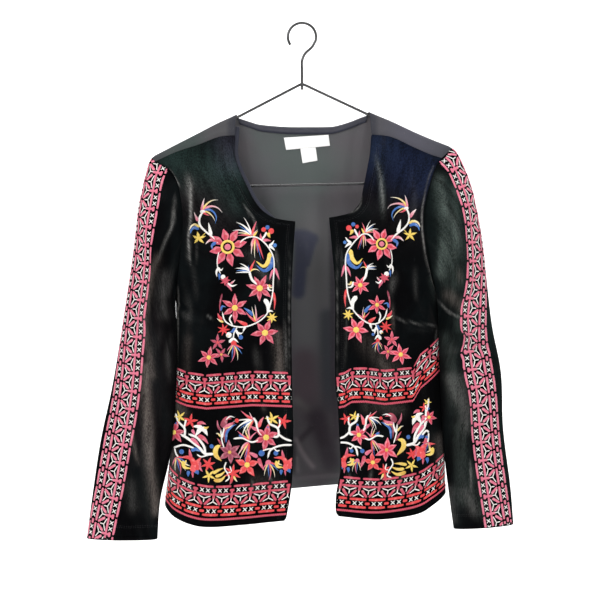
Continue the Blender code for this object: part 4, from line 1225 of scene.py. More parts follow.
# A small sheet that faces the viewer, with its own map and free edges all round.
def patch(grid):
    rows, columns = grid.shape[:2]
    count = rows * columns
    maps = np.stack([distances(grid, 1), distances(grid, 0)], axis=2)
    sheet = {"points": grid.reshape(-1, 3), "faces": gridFaces(rows, columns), "free": np.ones(count),
             "maps": {"cloth": maps.reshape(count, 2) * mm}, "hem share": np.zeros(count),
             "crush": np.zeros(count), "tone": np.zeros((count, 3))}
    sheet["lifted"] = sheet["points"]
    sharedNormals([sheet], {}, "points")
    if sheet["normals"][:, 1].sum() > 0:
        sheet["faces"] = sheet["faces"][:, ::-1]
        sharedNormals([sheet], {}, "points")
    return sheet


def normalsAt(sheet, points):
    known = {tuple(key): normal for key, normal in zip(placeKeys(sheet["points"]), sheet["normals"])}
    return np.array([known[tuple(key)] for key in placeKeys(points)])


# The turned-in strip that shows past the neck edge of the viewer's left side.
def neckFacing():
    yoke, front = yokeGrid("right")[3 * fine:-1], frontGrid("right")[:trims["cells"] * fine + 1]
    edge = np.vstack([yoke[:, -1], front[:, 0]])
    inside = np.vstack([yoke[:, -2], front[:, 1]])
    normals = np.vstack([normalsAt(sheets["back"], yoke[:, -1]),
                         normalsAt(sheets["front_right"], front[:, 0])])
    line = unit(np.gradient(edge, axis=0))
    inward = inside - edge
    inward -= line * (inward * line).sum(axis=1, keepdims=True)
    inward = unit(inward - normals * (inward * normals).sum(axis=1, keepdims=True))
    left = (len(edge) - 1 - np.arange(len(edge))) / fine
    shows = trims["shows"] * softStep(left / 2 + 0.12)
    columns = []
    for share in np.linspace(-1, 1, 13):
        across = -share * trims["under"] if share < 0 else -share * shows
        depth, late = trims["rolls in"]
        drop = trims["behind velvet"] + depth * max(share, 0)**late
        columns.append(edge + inward * np.broadcast_to(across, shows.shape)[:, None] - normals * drop)
    return patch(np.stack(columns, axis=1))


# The tape under the back neck edge, seen through the neck.
def backFacing():
    grid = backGrid()[:3 * fine, cells["front"]:-cells["front"]]
    normals = normalsAt(sheets["back"], grid.reshape(-1, 3)).reshape(grid.shape)
    inner = grid - normals * trims["behind knit"]
    down = distances(grid, 0)
    drops = np.linspace(*trims["back drops"], 8)
    columns = [np.stack([np.interp(drops, down[:, j], inner[:, j, axis]) for axis in range(3)], axis=1)
               for j in range(grid.shape[1])]
    sheet = patch(np.stack(columns, axis=1))
    light = softStep((trims["back drops"][1] - trims["navy edge"] - drops) / 1.2)
    sheet["tone"] = np.repeat(light[:, None] * np.array(trims["back tone"]), grid.shape[1], axis=0)
    return sheet


# A label lies on the inside of the back and follows it.
def labelSheet(corners, wall):
    topLeft, topRight, footRight, footLeft = np.array(corners, float)
    grid = []
    for v in even(10):
        row = []
        for u in even(30):
            top, foot = topLeft + (topRight - topLeft) * u, footLeft + (footRight - footLeft) * u
            x, z = top * (1 - v) + foot * v
            hit = wall.ray_cast(Vector((x, -200, z)), Vector((0, 1, 0)))[0]
            row.append((x, hit.y - trims["label lift"], z))
        grid.append(row)
    return patch(np.array(grid))


print("jacket: cutting tapes and labels")
inner = sheets["back"]["lifted"] - sheets["back"]["normals"] * body["knit"]
wall = BVHTree.FromPolygons(inner.tolist(), sheets["back"]["faces"].tolist())
trimSheets = {"facing_back_neck": backFacing(), "facing_right": neckFacing(),
              "label_main": labelSheet(trims["main"], wall), "label_size": labelSheet(trims["size"], wall)}


# Geometry nodes: one tree lays a repeated unit on a cloth's map, and others follow a path.
class Tree(Nodes):
    def __init__(self, name):
        self.tree = bpy.data.node_groups.new(name, "GeometryNodeTree")
        self.tree.interface.new_socket("Geometry", in_out="INPUT", socket_type="NodeSocketGeometry")
        self.tree.interface.new_socket("Geometry", in_out="OUTPUT", socket_type="NodeSocketGeometry")
        self.start = self.tree.nodes.new("NodeGroupInput")

    def asked(self, name, kind, value=None):
        socket = self.tree.interface.new_socket(name, in_out="INPUT", socket_type="NodeSocket" + kind)
        if value is not None:
            socket.default_value = value
        return Value(self, self.start.outputs[name])

    def given(self):
        return Value(self, self.start.outputs["Geometry"])

    def vectors(self, operation, first, second):
        last = 3 if operation == "SCALE" else 1
        return self.node("ShaderNodeVectorMath", {"operation": operation}, {0: first, last: second})

    def attribute(self, name):
        return self.node("GeometryNodeInputNamedAttribute", {"data_type": "FLOAT_VECTOR"}, {"Name": name})

    def object(self, item):
        return self.node("GeometryNodeObjectInfo", {"transform_space": "ORIGINAL"}, {"Object": item},
                         "Geometry")

    # Moves flat geometry onto the cloth: X and Y are places on its map, Z is height above it.
    def layOnCloth(self, shape, cloth, mapName, lift):
        place = self.node("GeometryNodeInputPosition")
        flat = self.node("ShaderNodeCombineXYZ", {}, {0: self.split(place, 0), 1: self.split(place, 1)})
        found = []
        for wanted in (place, self.attribute("outward")):
            sample = self.node("GeometryNodeSampleUVSurface", {"data_type": "FLOAT_VECTOR"},
                               {0: cloth, 1: wanted, 2: self.attribute(mapName), 3: flat})
            found.append(sample)
        valid = Value(self, found[0].socket.node.outputs["Is Valid"])
        missed = self.node("FunctionNodeBooleanMath", {"operation": "NOT"}, {0: valid})
        kept = self.node("GeometryNodeDeleteGeometry", {"domain": "POINT"},
                         {"Geometry": shape, "Selection": missed})
        raised = self.vectors("SCALE", found[1], self.split(place, 2) + lift)
        spot = self.vectors("ADD", found[0], raised)
        return self.node("GeometryNodeSetPosition", {}, {"Geometry": kept, "Position": spot})

    # Copies of a unit stand on the line's points and are laid on the cloth by its map.
    def sewn(self, line, mapName, extra, lift):
        unit, cloth = self.asked("Unit", "Object"), self.asked("Cloth", "Object")
        copies = self.node("GeometryNodeInstanceOnPoints", {},
                           {"Points": line, "Instance": self.object(unit), **extra})
        real = self.node("GeometryNodeRealizeInstances", {}, {"Geometry": copies})
        laid = self.layOnCloth(real, self.object(cloth), mapName, self.asked("Lift", "Float", lift))
        return self.finished(laid, self.asked("Thread", "Material"))

    def finished(self, shape, material):
        real = self.node("GeometryNodeRealizeInstances", {}, {"Geometry": shape})
        dressed = self.node("GeometryNodeSetMaterial", {}, {"Geometry": real, "Material": material})
        end = self.tree.nodes.new("NodeGroupOutput")
        self.tree.links.new(dressed.socket, end.inputs[0])
        return self.tree


# A unit is repeated along a line of the map and laid on the cloth.
def repeatTree(mapName):
    t = Tree("repeat on cloth by " + mapName)
    line = t.node("GeometryNodeMeshLine", {"mode": "OFFSET"}, {
        "Count": t.asked("Repeats", "Int", 1), "Start Location": t.asked("Start", "Vector"),
        "Offset": t.asked("Step", "Vector")})
    return t.sewn(line, mapName, {}, 0.0002)


# Stitches stand at even distances along a line drawn on the map.
def stitchTree(mapName):
    t = Tree("stitches on cloth by " + mapName)
    line = t.node("GeometryNodeMeshToCurve", {}, {"Mesh": t.given()})
    line = t.node("GeometryNodeResampleCurve", {"mode": "LENGTH"},
                  {"Curve": line, "Length": t.asked("Step", "Float", 0.003)})
    turn = t.node("FunctionNodeAlignRotationToVector", {"axis": "X"},
                  {"Vector": t.node("GeometryNodeInputTangent")})
    return t.sewn(line, mapName, {"Rotation": turn}, 0.0)


# A round wire follows the given line.
def wireTree():
    t = Tree("bent wire")
    line = t.node("GeometryNodeMeshToCurve", {}, {"Mesh": t.given()})
    profile = t.node("GeometryNodeCurvePrimitiveCircle", {}, {
        "Resolution": t.asked("Sides", "Int", 16), "Radius": t.asked("Radius", "Float")})
    tube = t.node("GeometryNodeCurveToMesh", {},
                  {"Curve": line, "Profile Curve": profile, "Fill Caps": True})
    smooth = t.node("GeometryNodeSetShadeSmooth", {}, {"Geometry": tube})
    return t.finished(smooth, t.asked("Finish", "Material"))


# Runs a tree on a base object and leaves a plain mesh.
def grow(name, tree, inputs, base=None):
    base = base or newObject("base", bpy.data.meshes.new("base"))
    modifier = base.modifiers.new("grow", "NODES")
    modifier.node_group = tree
    for item in tree.interface.items_tree:
        if item.in_out == "INPUT" and item.name in inputs:
            modifier[item.identifier] = inputs[item.name]
    graph = bpy.context.evaluated_depsgraph_get()
    mesh = bpy.data.meshes.new_from_object(base.evaluated_get(graph), preserve_all_data_layers=True,
                                           depsgraph=graph)
    mesh.name = name
    base.modifiers.remove(modifier)
    bpy.data.objects.remove(base)
    return newObject(name, mesh)


def lineObject(points, closed=False):
    mesh = bpy.data.meshes.new("line")
    edges = [(index, index + 1) for index in range(len(points) - 1)]
    if closed:
        edges.append((len(points) - 1, 0))
    mesh.from_pydata([tuple(point) for point in np.asarray(points, float)], edges, [])
    return newObject("line", mesh)


# Threads: crowned strokes of satin stitch, drawn flat in millimetres and then laid on the cloth.

def dye(text):
    values = [int(text[place:place + 2], 16) / 255 for place in (0, 2, 4)]
    return tuple(v / 12.92 if v <= 0.04045 else ((v + 0.055) / 1.055)**2.4 for v in values)


dyes = {name: dye(text) for name, text in {
    "red": "e23234", "coral": "ea5054", "pink": "cc4259", "rose": "e0708a", "crimson": "c42d45",
    "wine": "8c2a43", "mallow": "a8465e", "cherry": "dc3049", "blossom": "ea6a80", "blush": "d85c72",
    "white": "f6f3ee", "yellow": "f2d25e", "gold": "dcae45", "blue": "2563b2", "sky": "3d7cc8",
    "soot": "232226"}.items()}


class Threads:
    def __init__(self):
        self.points, self.faces, self.dyes, self.stitch = [], [], [], []
        self.count = 0

    def stroke(self, path, widths, colour, tip=None, crown=0.5, sides=4, lift=0.0):
        path, widths = np.asarray(path, float), np.asarray(widths, float)
        tangent = unit(np.gradient(path, axis=0))
        left = np.stack([-tangent[:, 1], tangent[:, 0]], axis=1)
        across = np.linspace(-1, 1, sides + 1)
        places = path[:, None] + left[:, None] * (across[None, :, None] * widths[:, None, None])
        full = np.minimum(1.0, widths / max(widths.max(), 1e-6) * 1.2)
        heights = crown * np.sqrt(np.maximum(0, 1 - across**2))[None] * full[:, None] - 0.12 + lift
        rows, columns = len(path), sides + 1
        self.points.append(np.dstack([places, heights]).reshape(-1, 3))
        self.faces.append(gridFaces(rows, columns) + self.count)
        self.count += rows * columns
        share = np.linspace(0, 1, rows)[:, None]**1.7
        tones = np.array(dyes[colour]) * (1 - share) + np.array(dyes[tip or colour]) * share
        tones = np.hstack([tones, np.ones((rows, 1))])
        self.dyes.append(np.repeat(tones, columns, axis=0))
        run = np.broadcast_to(runOf(path)[:, None], (rows, columns))
        where = np.dstack([run, across[None] * widths[:, None]])
        self.stitch.append(where.reshape(-1, 2))

    def bar(self, start, stop, width, colour, crown=0.5, cuts=4, sides=3):
        path = np.linspace(start, stop, cuts + 3)
        shares = np.linspace(0, 1, cuts + 3)
        blunt = np.minimum(1, np.minimum(shares, 1 - shares) * (cuts + 2) * 0.9 + 0.72)
        self.stroke(path, blunt * width / 2, colour, crown=crown, sides=sides)

    # A leaf or vine through a few places, thick in the middle or along its whole length.
    def curve(self, places, width, colour, tip=None, shape="leaf", crown=0.6, cuts=12, lift=0.0):
        path = along(places, even(cuts))
        share = even(cuts)
        profiles = {"leaf": np.sin(np.pi * share**0.85)**0.8, "drop": np.sin(np.pi * share**0.5)**0.75,
                    "vine": np.minimum(1, share * cuts * 0.5 + 0.4)
                            * np.minimum(1, (1 - share) * cuts * 0.4 + 0.12),
                    "flame": np.minimum(1, share * 7 + 0.3) * (1 - share)**0.8,
                    "petal": np.where(share < 0.45, 0.30 + 0.70 * np.sin(np.pi / 2 * share / 0.45),
                                      np.clip((1 - share) / 0.55, 0, 1)**0.85)}
        self.stroke(path, np.maximum(profiles[shape], 0.04) * width / 2, colour, tip, crown, lift=lift)

    def dot(self, x, y, radius, colour, crown=0.7, lift=0.0):
        turn = np.linspace(0, np.pi, 8)
        path = np.stack([x - np.cos(turn) * radius, np.full(8, y)], axis=1)
        self.stroke(path, np.maximum(np.sin(turn), 0.05) * radius, colour, crown=crown, lift=lift)

    # A pointed petal: a pale edge, and a darker heart that stands a little higher.
    def petal(self, x, y, angle, start, stop, width, colour, tip, lean=0.0):
        way = np.array((math.cos(angle), math.sin(angle)))
        side = np.array((-way[1], way[0]))
        centre = np.array((x, y), float)
        for share, wide, hue, lift in ((1.0, 1.0, tip, 0.0), (0.86, 0.62, colour, 0.2)):
            far = start + (stop - start) * share
            places = [centre + way * start, centre + way * (start + far) / 2 + side * lean * width,
                      centre + way * far]
            self.curve(places, width * wide, hue, hue, "petal", crown=0.5, cuts=8, lift=lift)

    def flower(self, x, y, petals, radius, width, colour, tip, turn, eye, eyeDye):
        start = eye * (0.9 if eyeDye == "ring" else 0.6)
        for index in range(petals):
            angle = turn + 2 * math.pi * index / petals
            size = radius * (1 + 0.07 * math.sin(index * 2.6 + x))
            self.petal(x, y, angle, start, size, width, colour, tip, 0.06 * math.sin(index * 1.9 + y))
        if eyeDye == "ring":
            angles = np.linspace(0, 2 * math.pi, 29)
            circle = np.stack([x + np.cos(angles) * eye * 0.84, y + np.sin(angles) * eye * 0.84], axis=1)
            self.stroke(circle, np.full(29, eye * 0.17), "yellow", crown=0.7, lift=0.35)
        else:
            self.dot(x, y, eye, eyeDye, 0.75, 0.35)

    # The flat design as an object. With flip -1 it is the mirror image for the other front.
    def flat(self, name, flip=1):
        points, faces = np.vstack(self.points) * (flip, 1, 1), np.vstack(self.faces)
        return newPiece(name, points * mm, faces[:, ::flip], None, {"stitch": np.vstack(self.stitch) * mm},
                        {"dye": ("FLOAT_COLOR", np.vstack(self.dyes))})


# One repeat of the counted band. S runs along the band and T across it, from the hem side up.
bandLook = {
    "pitch": 25.4,
    "hem rows": (6.0, 11.0, 16.2),  # bar, row of crosses, bar
    "top rows": (33.2, 38.4, 43.6),
    "bar": 3.3,
    "cross": 4.9,
    "gap": 3.8,
    "rope": 3.0,
    "lays": 9,
}


def cross(threads, s, t, size, colour):
    for way in (-1, 1):
        threads.bar((s - size / 2, t - way * size / 2), (s + size / 2, t + way * size / 2), 1.2, colour,
                    crown=0.45, cuts=2)


def bandUnit(lower, upper, rope):
    look = bandLook
    threads = Threads()
    half, gap, width = look["pitch"] / 2, look["gap"] / 2, look["bar"]
    low, lowCross, lowTop = look["hem rows"]
    foot, topCross, top = look["top rows"]
    for t in (low, lowTop):  # lower bars, broken at s = half
        threads.bar((-half + gap, t), (half - gap, t), width, lower)
    for t in (foot, top):  # upper bars, broken at s = 0
        threads.bar((gap, t), (2 * half - gap, t), width * 0.9, upper)
    threads.bar((half - 3.1, lowCross), (half + 3.1, lowCross), width, lower)
    threads.bar((-3.1, topCross), (3.1, topCross), width, upper)
    for way in (-1, 1):
        cross(threads, way * 4.1, lowCross, look["cross"], "white")
        cross(threads, half + way * 4.1, topCross, look["cross"], "white")
    threads.bar((0, topCross - 1.2), (0, 27.4), width, upper)  # stem under each upper gap
    for way in (-1, 1):
        threads.bar((half + way * 1.7, 19.4), (half + way * 9.0, 28.2), width, upper)
        threads.bar((half, 28.0), (half + way * 8.2, 31.2), 1.3, "white", cuts=3)
        threads.bar((0, 23.4), (way * 7.2, 19.6), 1.3, "white", cuts=3)
    threads.bar((half, 28.3), (half, 22.8), 1.3, "white", cuts=2)
    threads.bar((0, 27.4), (0, 23.2), 1.3, "white", cuts=2)
    if rope:
        lays = look["lays"]
        for index in range(lays):
            s = -half + (index + 0.5) * look["pitch"] / lays
            threads.bar((s - 1.7, -0.8), (s + 1.7, 0.8), look["rope"] * 0.8, upper, crown=0.6, cuts=2)
    return threads


# Flower sprays, drawn in millimetres. X runs towards the open front edge and Y up.
# Strokes are sorted by kind and by thread: one dye, or the dyes of foot and tip.
# vine, leaf, bow: width, then x and y of each place. dot: x, y, radius.
# star: x, y, points, radius, width, turn. flower: x, y, petals, radius, width, turn, eye, its dye.
# plume, by its name: x, y, heading. lotus: x, y, size.
# A plume is a fan of leaves from one place: turn from its heading, length, bend, width, dyes.

plumes = {
    "curl": ((62, 15, -10, 5, "rose white"), (36, 24, -38, 4, "yellow white"),
        (8, 27, -52, 4.6, "rose white"), (-18, 29, -70, 4.6, "blue sky"),
        (-44, 21, -30, 3.4, "yellow white"), (-84, 11, 30, 4.6, "red rose")),
    "feather": ((34, 19, 10, 3.2, "blue sky"), (20, 25, 24, 4.8, "white"), (4, 24, 12, 3.4, "white"),
        (44, 24, 26, 4, "white"), (58, 19, 16, 3.2, "yellow white"), (72, 17, 10, 4.2, "coral rose"),
        (-24, 18, -6, 5.4, "red rose"), (-52, 10, -6, 3.2, "rose white")),
    "tassel": ((-44, 13, 30, 4.2, "rose white"), (-24, 20, 16, 4.4, "coral white"),
        (-4, 24, 6, 3.4, "yellow white"), (14, 18, -4, 3.2, "pink rose"), (26, 27, -4, 5.4, "red pink"),
        (17, 27, 0, 2.8, "blue")),
    "fan": ((52, 16, 22, 4.2, "white"), (66, 13, 22, 3.6, "white"), (82, 18, 16, 4.2, "white"),
        (96, 16, 10, 4.6, "blue sky"), (112, 17, 0, 4, "white"), (0, 15, -8, 5.4, "red coral"),
        (-34, 13, -46, 3.2, "yellow white"), (34, 8, 0, 2.8, "blue")),
    "bell": ((-66, 11, 20, 3.6, "rose"), (-40, 16, 12, 3, "yellow white"), (-14, 18, 8, 3, "blue"),
        (10, 21, -26, 3.6, "pink rose"), (30, 19, -22, 3.2, "yellow white"),
        (52, 15, -14, 3.2, "blue sky"), (74, 12, -10, 4.4, "red rose")),
    "sprig": ((-52, 14, -14, 3.6, "rose"), (-14, 20, 10, 3.6, "rose white"),
        (10, 18, -6, 3.2, "yellow white"), (44, 17, -10, 4.8, "coral rose")),
}

chestSpray = {
    "vine white": ((3.2, 15, 3, 20, 9, 28, 13, 37, 13, 45, 9, 53, 1, 60, -11, 62, -24, 61, -44, 60, -62,
            57, -76, 53, -88, 46, -96, 36, -102, 24, -106, 12, -106, 3, -103, -4, -97, -7, -86),
        (4.2, -12, 5, -21, 14, -30, 21, -36, 29, -37, 38, -34, 47),
        (2.4, -12, -7, -14, -18, -13, -28, -9, -36), (4.6, 45, 9, 49, 14, 52, 20),
        (5.4, 40, -50, 33, -44, 30, -36, 29, -29), (3.4, 6, -90, 3, -96, 7, -104),
        (3, 13, -107, 9, -114, 8, -122)),
    "vine yellow": ((1.8, -30, 19, -34, 15),),
    "leaf white": ((4.8, -22, 15, -24, 24, -26, 33), (2.8, -13, -27, -9, -31, -6, -28),
        (3, -13, -28, -15, -34, -14, -40), (3, 0, -48, 6, -52, 13, -50), (3.4, 55, 1, 59, 4, 62, 9),
        (3.8, 55, 1, 59, -1, 63, -5), (3, 53, -50, 55, -57, 61, -58), (6, 49, -69, 54, -78, 53, -90),
        (3.2, 53, -86, 57, -85, 61, -86), (4, 2, -127, 8, -122, 15, -127),
        (3.4, 11, -110, 14, -115, 15, -120), (3, 13, -114, 18, -115, 21, -113),
        (3.2, 24, -106, 22, -110, 21, -113)),
    "leaf rose white": ((4.4, -38, 35, -42, 41, -46, 46), (3.6, -18, 9, -24, 9, -30, 4),
        (2.6, 4, -49, 8, -46, 10, -44)),
    "leaf yellow white": ((3.4, -36, 27, -42, 30, -48, 28, -51, 22), (2.6, 55, -50, 57, -54, 61, -53),
        (2.8, -5, -100, -10, -98, -14, -95)),
    "leaf blue sky": ((4.2, -37, 24, -43, 26, -48, 23, -50, 17), (4.6, 35, -91, 28, -85, 22, -81),
        (3, -9, -85, -7, -79, -2, -80)),
    "leaf blue": ((4.4, -15, 7, -21, 2, -20, -4), (3, -11, -35, -11, -44),
        (6, 59, -12, 58, -25, 49, -32, 38, -24), (4.6, 11, -108, 7, -112, 3, -113)),
    "leaf rose pink": ((3.8, -1, -49, 3, -54, 6, -59), (3.2, 46, 10, 44, 14, 44, 18),
        (4, 47, 8, 52, 9, 58, 8)),
    "leaf yellow": ((3, 34, 14, 40, 21), (6.2, 56, -7, 55, -18, 48, -26, 38, -19)),
    "leaf yellow gold": ((4.4, 54, 19, 55, 15, 57, 12),),
    "leaf rose": ((3.4, 61, -30, 58, -37, 56, -44), (3.4, 63, -28, 66, -36, 69, -44)),
    "leaf red coral": ((3.4, 61, -60, 63, -72, 62, -84), (5, 27, -104, 20, -101, 12, -97)),
    "leaf wine pink": ((2.4, -7, -62, -10, -76, -10, -88),),
    "leaf red pink": ((4.2, -7, -97, -11, -93, -13, -88),),
    "dot white": ((-33, 48, 3.2), (-6, -40, 3.2), (2, -117, 3.8)),
    "dot red": ((48, 23, 3.2), (58, 21, 3.8), (8.5, -128, 3.8)),
    "dot blue": ((53, 26, 2.8), (18, -120, 3)),
    "dot sky": ((63, 2, 2.6),),
    "dot gold": ((1, -118, 1.8),),
    "dot rose": ((0, 0, 4.2),),
    "star yellow": ((-38, 12, 5, 9, 3.4, 20), (59, -94, 7, 7.5, 2.6, 10)),
    "star pink": ((-3, -45, 7, 7, 3, 8),),
    "star red": ((-5, -110, 7, 8.5, 2.6, 0),),
    "flower crimson rose": ((0, 0, 8, 26.5, 10.4, 14, 9.4, "ring"),
        (43, -55, 7, 18, 6.9, 12, 4.2, "yellow"), (10, -81, 6, 19, 7.2, 30, 4, "yellow"),
        (50, -114, 6, 18, 7.6, 8, 4.2, "yellow"), (-25, -147, 6, 14.5, 6, 20, 3, "yellow")),
    "flower pink mallow": ((-13, -127, 5, 11, 4.4, 18, 1.6, "coral"),
        (-8, -143, 5, 10.5, 4.2, 60, 1.6, "gold")),
    "plume curl": ((-34, 49, 28),),
    "plume feather": ((32, 15, 100),),
    "plume tassel": ((37, 12, -92),),
    "plume fan": ((30, -33, 72),),
    "plume sprig": ((38, -99, 100),),
    "plume bell": ((8.5, -130, -88),),
}

bandSpray = {
    "vine white": ((6, -22, -3, -33, -3, -41, 5, -51, 13, -60, 19, -67, 22),
        (5.4, -33, -3, -35, 7, -44, 18, -56, 23), (4.2, -46, 20, -44, 25, -42, 31),
        (3.4, -44, -4, -38, -7, -28, -4), (4.4, -76, 4, -62, 8, -47, 4), (3.8, -75, 3, -73, -4, -69, -9),
        (5, -74, 49, -70, 39, -61, 30, -61, 18), (4.2, -59, 42, -61, 33, -61, 28),
        (3, -8, 6, -11, 17, -12, 30), (4.8, 31, 46, 35, 40, 37, 30, 43, 22),
        (4, 5, 18, 17, 19, 29, 14, 40, 17), (5, 49, 48, 53, 38, 63, 32, 64, 22, 57, 20),
        (4.6, 64, 24, 73, 18, 82, 15), (4.2, 66, 44, 66, 36, 63, 31), (4.4, 82, 10, 67, 9, 54, 3, 50, -8),
        (3.4, 56, 5, 49, 4, 43, 2), (3, 58, 6, 62, 2, 66, 3),
        (3.2, -5, -13, -7, -21, -3, -28, -1, -34, -6, -39), (2.8, -2, -27, 2, -25, 0, -18)),
    "leaf rose pink": ((6.2, -53, 17, -46, 12, -39, 4), (5, -8, 31, -1, 36, 6, 40),
        (4.6, 37, 30, 32, 32, 27, 35), (5, 37, -6, 30, -2, 22, 1)),
    "leaf pink rose": ((6, -43, 21, -35, 17, -29, 10), (4.8, -44, 36, -38, 38, -32, 36),
        (5, 38, -7, 41, -16, 46, -24)),
    "leaf rose": ((4.2, -51, 29, -48, 24, -46, 21),),
    "leaf blue sky": ((5, -52, 1, -46, 3, -39, 0), (3.6, -74, 37, -71, 34), (3.2, 12, 23, 17, 21, 21, 19),
        (3.4, 49, 34, 52, 32)),
    "leaf white": ((5.4, -37, 31, -43, 33, -50, 33), (6.4, -38, 32, -34, 28, -30, 21),
        (5.4, -37, 33, -41, 27, -45, 21), (3.2, -11, 18, -8, 28, -8, 36), (2.4, -6, 42, 0, 47, 7, 46)),
    "leaf yellow gold": ((3.6, -36, 31, -32, 31, -28, 33), (4, -23, -29, -15, -24, -8, -21),
        (4, -20, -33, -12, -30, -5, -24)),
    "leaf wine rose": ((3.4, -12, 28, -16, 34, -17, 42),),
    "leaf yellow white": ((2.6, -12, 20, -16, 24, -19, 24), (2.6, -7, 31, -1, 33, 5, 36),
        (3, 5, -31, 7, -35, 10, -39)),
    "leaf wine pink": ((3.4, -10, 8, -14, 14, -17, 18), (8, -10, 32, -5, 44, 2, 44)),
    "leaf coral rose": ((4.8, 38, 33, 41, 41, 45, 47),),
    "leaf gold yellow": ((5, -22, -38, -12, -37, -5, -30),),
    "leaf red wine": ((4.2, 3, -32, 2, -38, 0, -43),),
    "bow yellow gold": ((6.8, -12, 9, -18, 5, -19, -4, -11, -12),),
    "bow blue sky": ((3.2, -5, 12, -4, 26, 3, 34, 9, 37),),
    "bow wine rose": ((2.4, -7, 12, -7, 26, 0, 35, 7, 38),),
    "dot blue": ((-65, -1, 3.3), (-24.5, 7, 2.8), (42, -1, 4), (61, -1, 3.2)),
    "dot red": ((9.5, 42, 2.8),),
    "dot rose": ((51, -14, 4),),
    "star yellow": ((-68, 45, 5, 9.5, 3.2, 40), (56, 44, 5, 10, 3.4, 30), (-28, -32, 5, 9.5, 3.2, 50)),
    "star red": ((-53, 40, 5, 10.5, 3.8, 10), (-29, -17, 6, 10, 3.6, 14), (71, 41, 5, 10.5, 3.8, 0),
        (4, -27, 6, 12, 3.8, 24)),
    "flower crimson rose": ((-76, 24, 6, 16.5, 7.2, 10, 3.4, "yellow"), (48, 20, 6, 18, 8, 20, 4,
            "yellow")),
    "flower red coral": ((23, -16, 5, 16.5, 8.4, 14, 3.6, "yellow"),),
    "flower wine mallow": ((0, 0, 6, 16, 7.4, 35, 2.4, "gold"),),
    "plume bell": ((-72, -9, -66), (51, -14, -78)),
    "plume feather": ((31, 43, 172),),
    "plume sprig": ((26, 17, 108),),
    "plume tassel": ((25, 13, -118),),
    "lotus bud": ((-51, -15, 17), (72, -13, 15)),
}


# A lotus bud seen from the side, in shares of its size.
lotus = (
    (0.26, "pink rose", -0.05, 0.35, -0.15, 0.75, -0.2, 1.1),
    (0.38, "red coral", 0.25, -0.35, -0.1, 0.35, -0.92, 0.4),
    (0.36, "red coral", 0.1, -0.3, 0.55, 0.2, 0.75, 0.45),
    (0.26, "pink rose", 0.6, 0.1, 0.65, -0.4, 0.85, -0.7), (0.44, "red", 0.3, -0.6, 0.5, -0.1, 0.55, 0.3),
    (0.6, "coral red", 0.1, -0.75, 0.2, -0.2, 0.1, 0.4),
    (0.3, "yellow", -0.7, 0.15, -0.6, -0.35, -0.05, -0.45),
    (0.16, "yellow white", -0.45, 0.2, -0.5, -0.1, -0.15, -0.25),
    (0.28, "blue", -0.2, -0.65, -0.28, -0.85, -0.27, -1.1),
    (0.34, "blue", 0.28, -0.6, 0.44, -0.75, 0.5, -0.92),
    (0.17, "pink rose", 0.05, -0.7, 0.08, -0.95, 0.1, -1.18),
)


# The dyes of a stroke's foot and tip.
def dyesOf(key):
    return (key.split() * 2)[:2]


# A short bent line from x and y.
def headed(x, y, heading, length, bend):
    turns = np.radians(heading + bend * even(3))
    steps = np.stack([np.cos(turns), np.sin(turns)], axis=1) * length / 4
    return np.vstack([(x, y), (x, y) + np.cumsum(steps, axis=0)])


strokes = {"vine": 0.58, "plume length": 1.14, "plume bend": 1.6, "plume width": 0.84, "least": 0.66}


# The warp gives where each X of the design comes to lie, and how far it is raised there.
def drawSpray(threads, spray, warp, hues):
    def placed(x, y):
        return np.interp(x, warp["from"], warp["to"]), y + np.interp(x, warp["from"], warp["up"])

    def line(numbers):
        return [placed(x, y) for x, y in zip(numbers[::2], numbers[1::2])]

    # How much smaller a motif gets where the warp squeezes it.
    def squeeze(x):
        return min(max((placed(x + 2, 0)[0] - placed(x - 2, 0)[0]) / 4, strokes["least"]), 1.0)

    def draw(kind, name, colour, tip, row):
        if kind == "vine":
            threads.curve(line(row[1:]), row[0] * strokes["vine"], colour, shape="vine",
                          cuts=len(row) // 2 * 6)
            return
        if kind in ("leaf", "bow"):
            threads.curve(line(row[1:]), row[0], colour, tip, "drop" if kind == "leaf" else "leaf")
            return
        size = squeeze(row[0])
        x, y = placed(*row[:2])
        if kind == "dot":
            threads.dot(x, y, row[2] * size, colour)
        elif kind == "star":
            points, radius, width, turn = row[2:]
            for index in range(points):
                bend = 9 * math.sin(index * 2 + x)
                arm = headed(x, y, turn + 360 * index / points, radius * size, bend)
                threads.curve(arm, width * size, colour, colour, "petal", cuts=6)
        elif kind == "flower":
            petals, radius, width, turn, eye, eyeDye = row[2:]
            threads.flower(x, y, petals, radius * size, width * size, hues.get(colour, colour),
                           hues.get(tip, tip), math.radians(turn), eye * size, eyeDye)
        elif kind == "plume":
            for turn, length, bend, width, key in plumes[name]:
                leaf = headed(x, y, row[2] + turn, length * size * strokes["plume length"],
                              bend * strokes["plume bend"])
                threads.curve(leaf, width * size * strokes["plume width"], *dyesOf(key), "flame")
        elif kind == "lotus":
            for width, key, *places in lotus:
                path = np.reshape(places, (-1, 2)) * row[2] + (x, y)
                threads.curve(path, width * row[2], *dyesOf(key), "drop", cuts=10)

    for key, rows in spray.items():
        kind, name = key.split(" ", 1)
        for row in rows:
            draw(kind, name, *dyesOf(name), row)


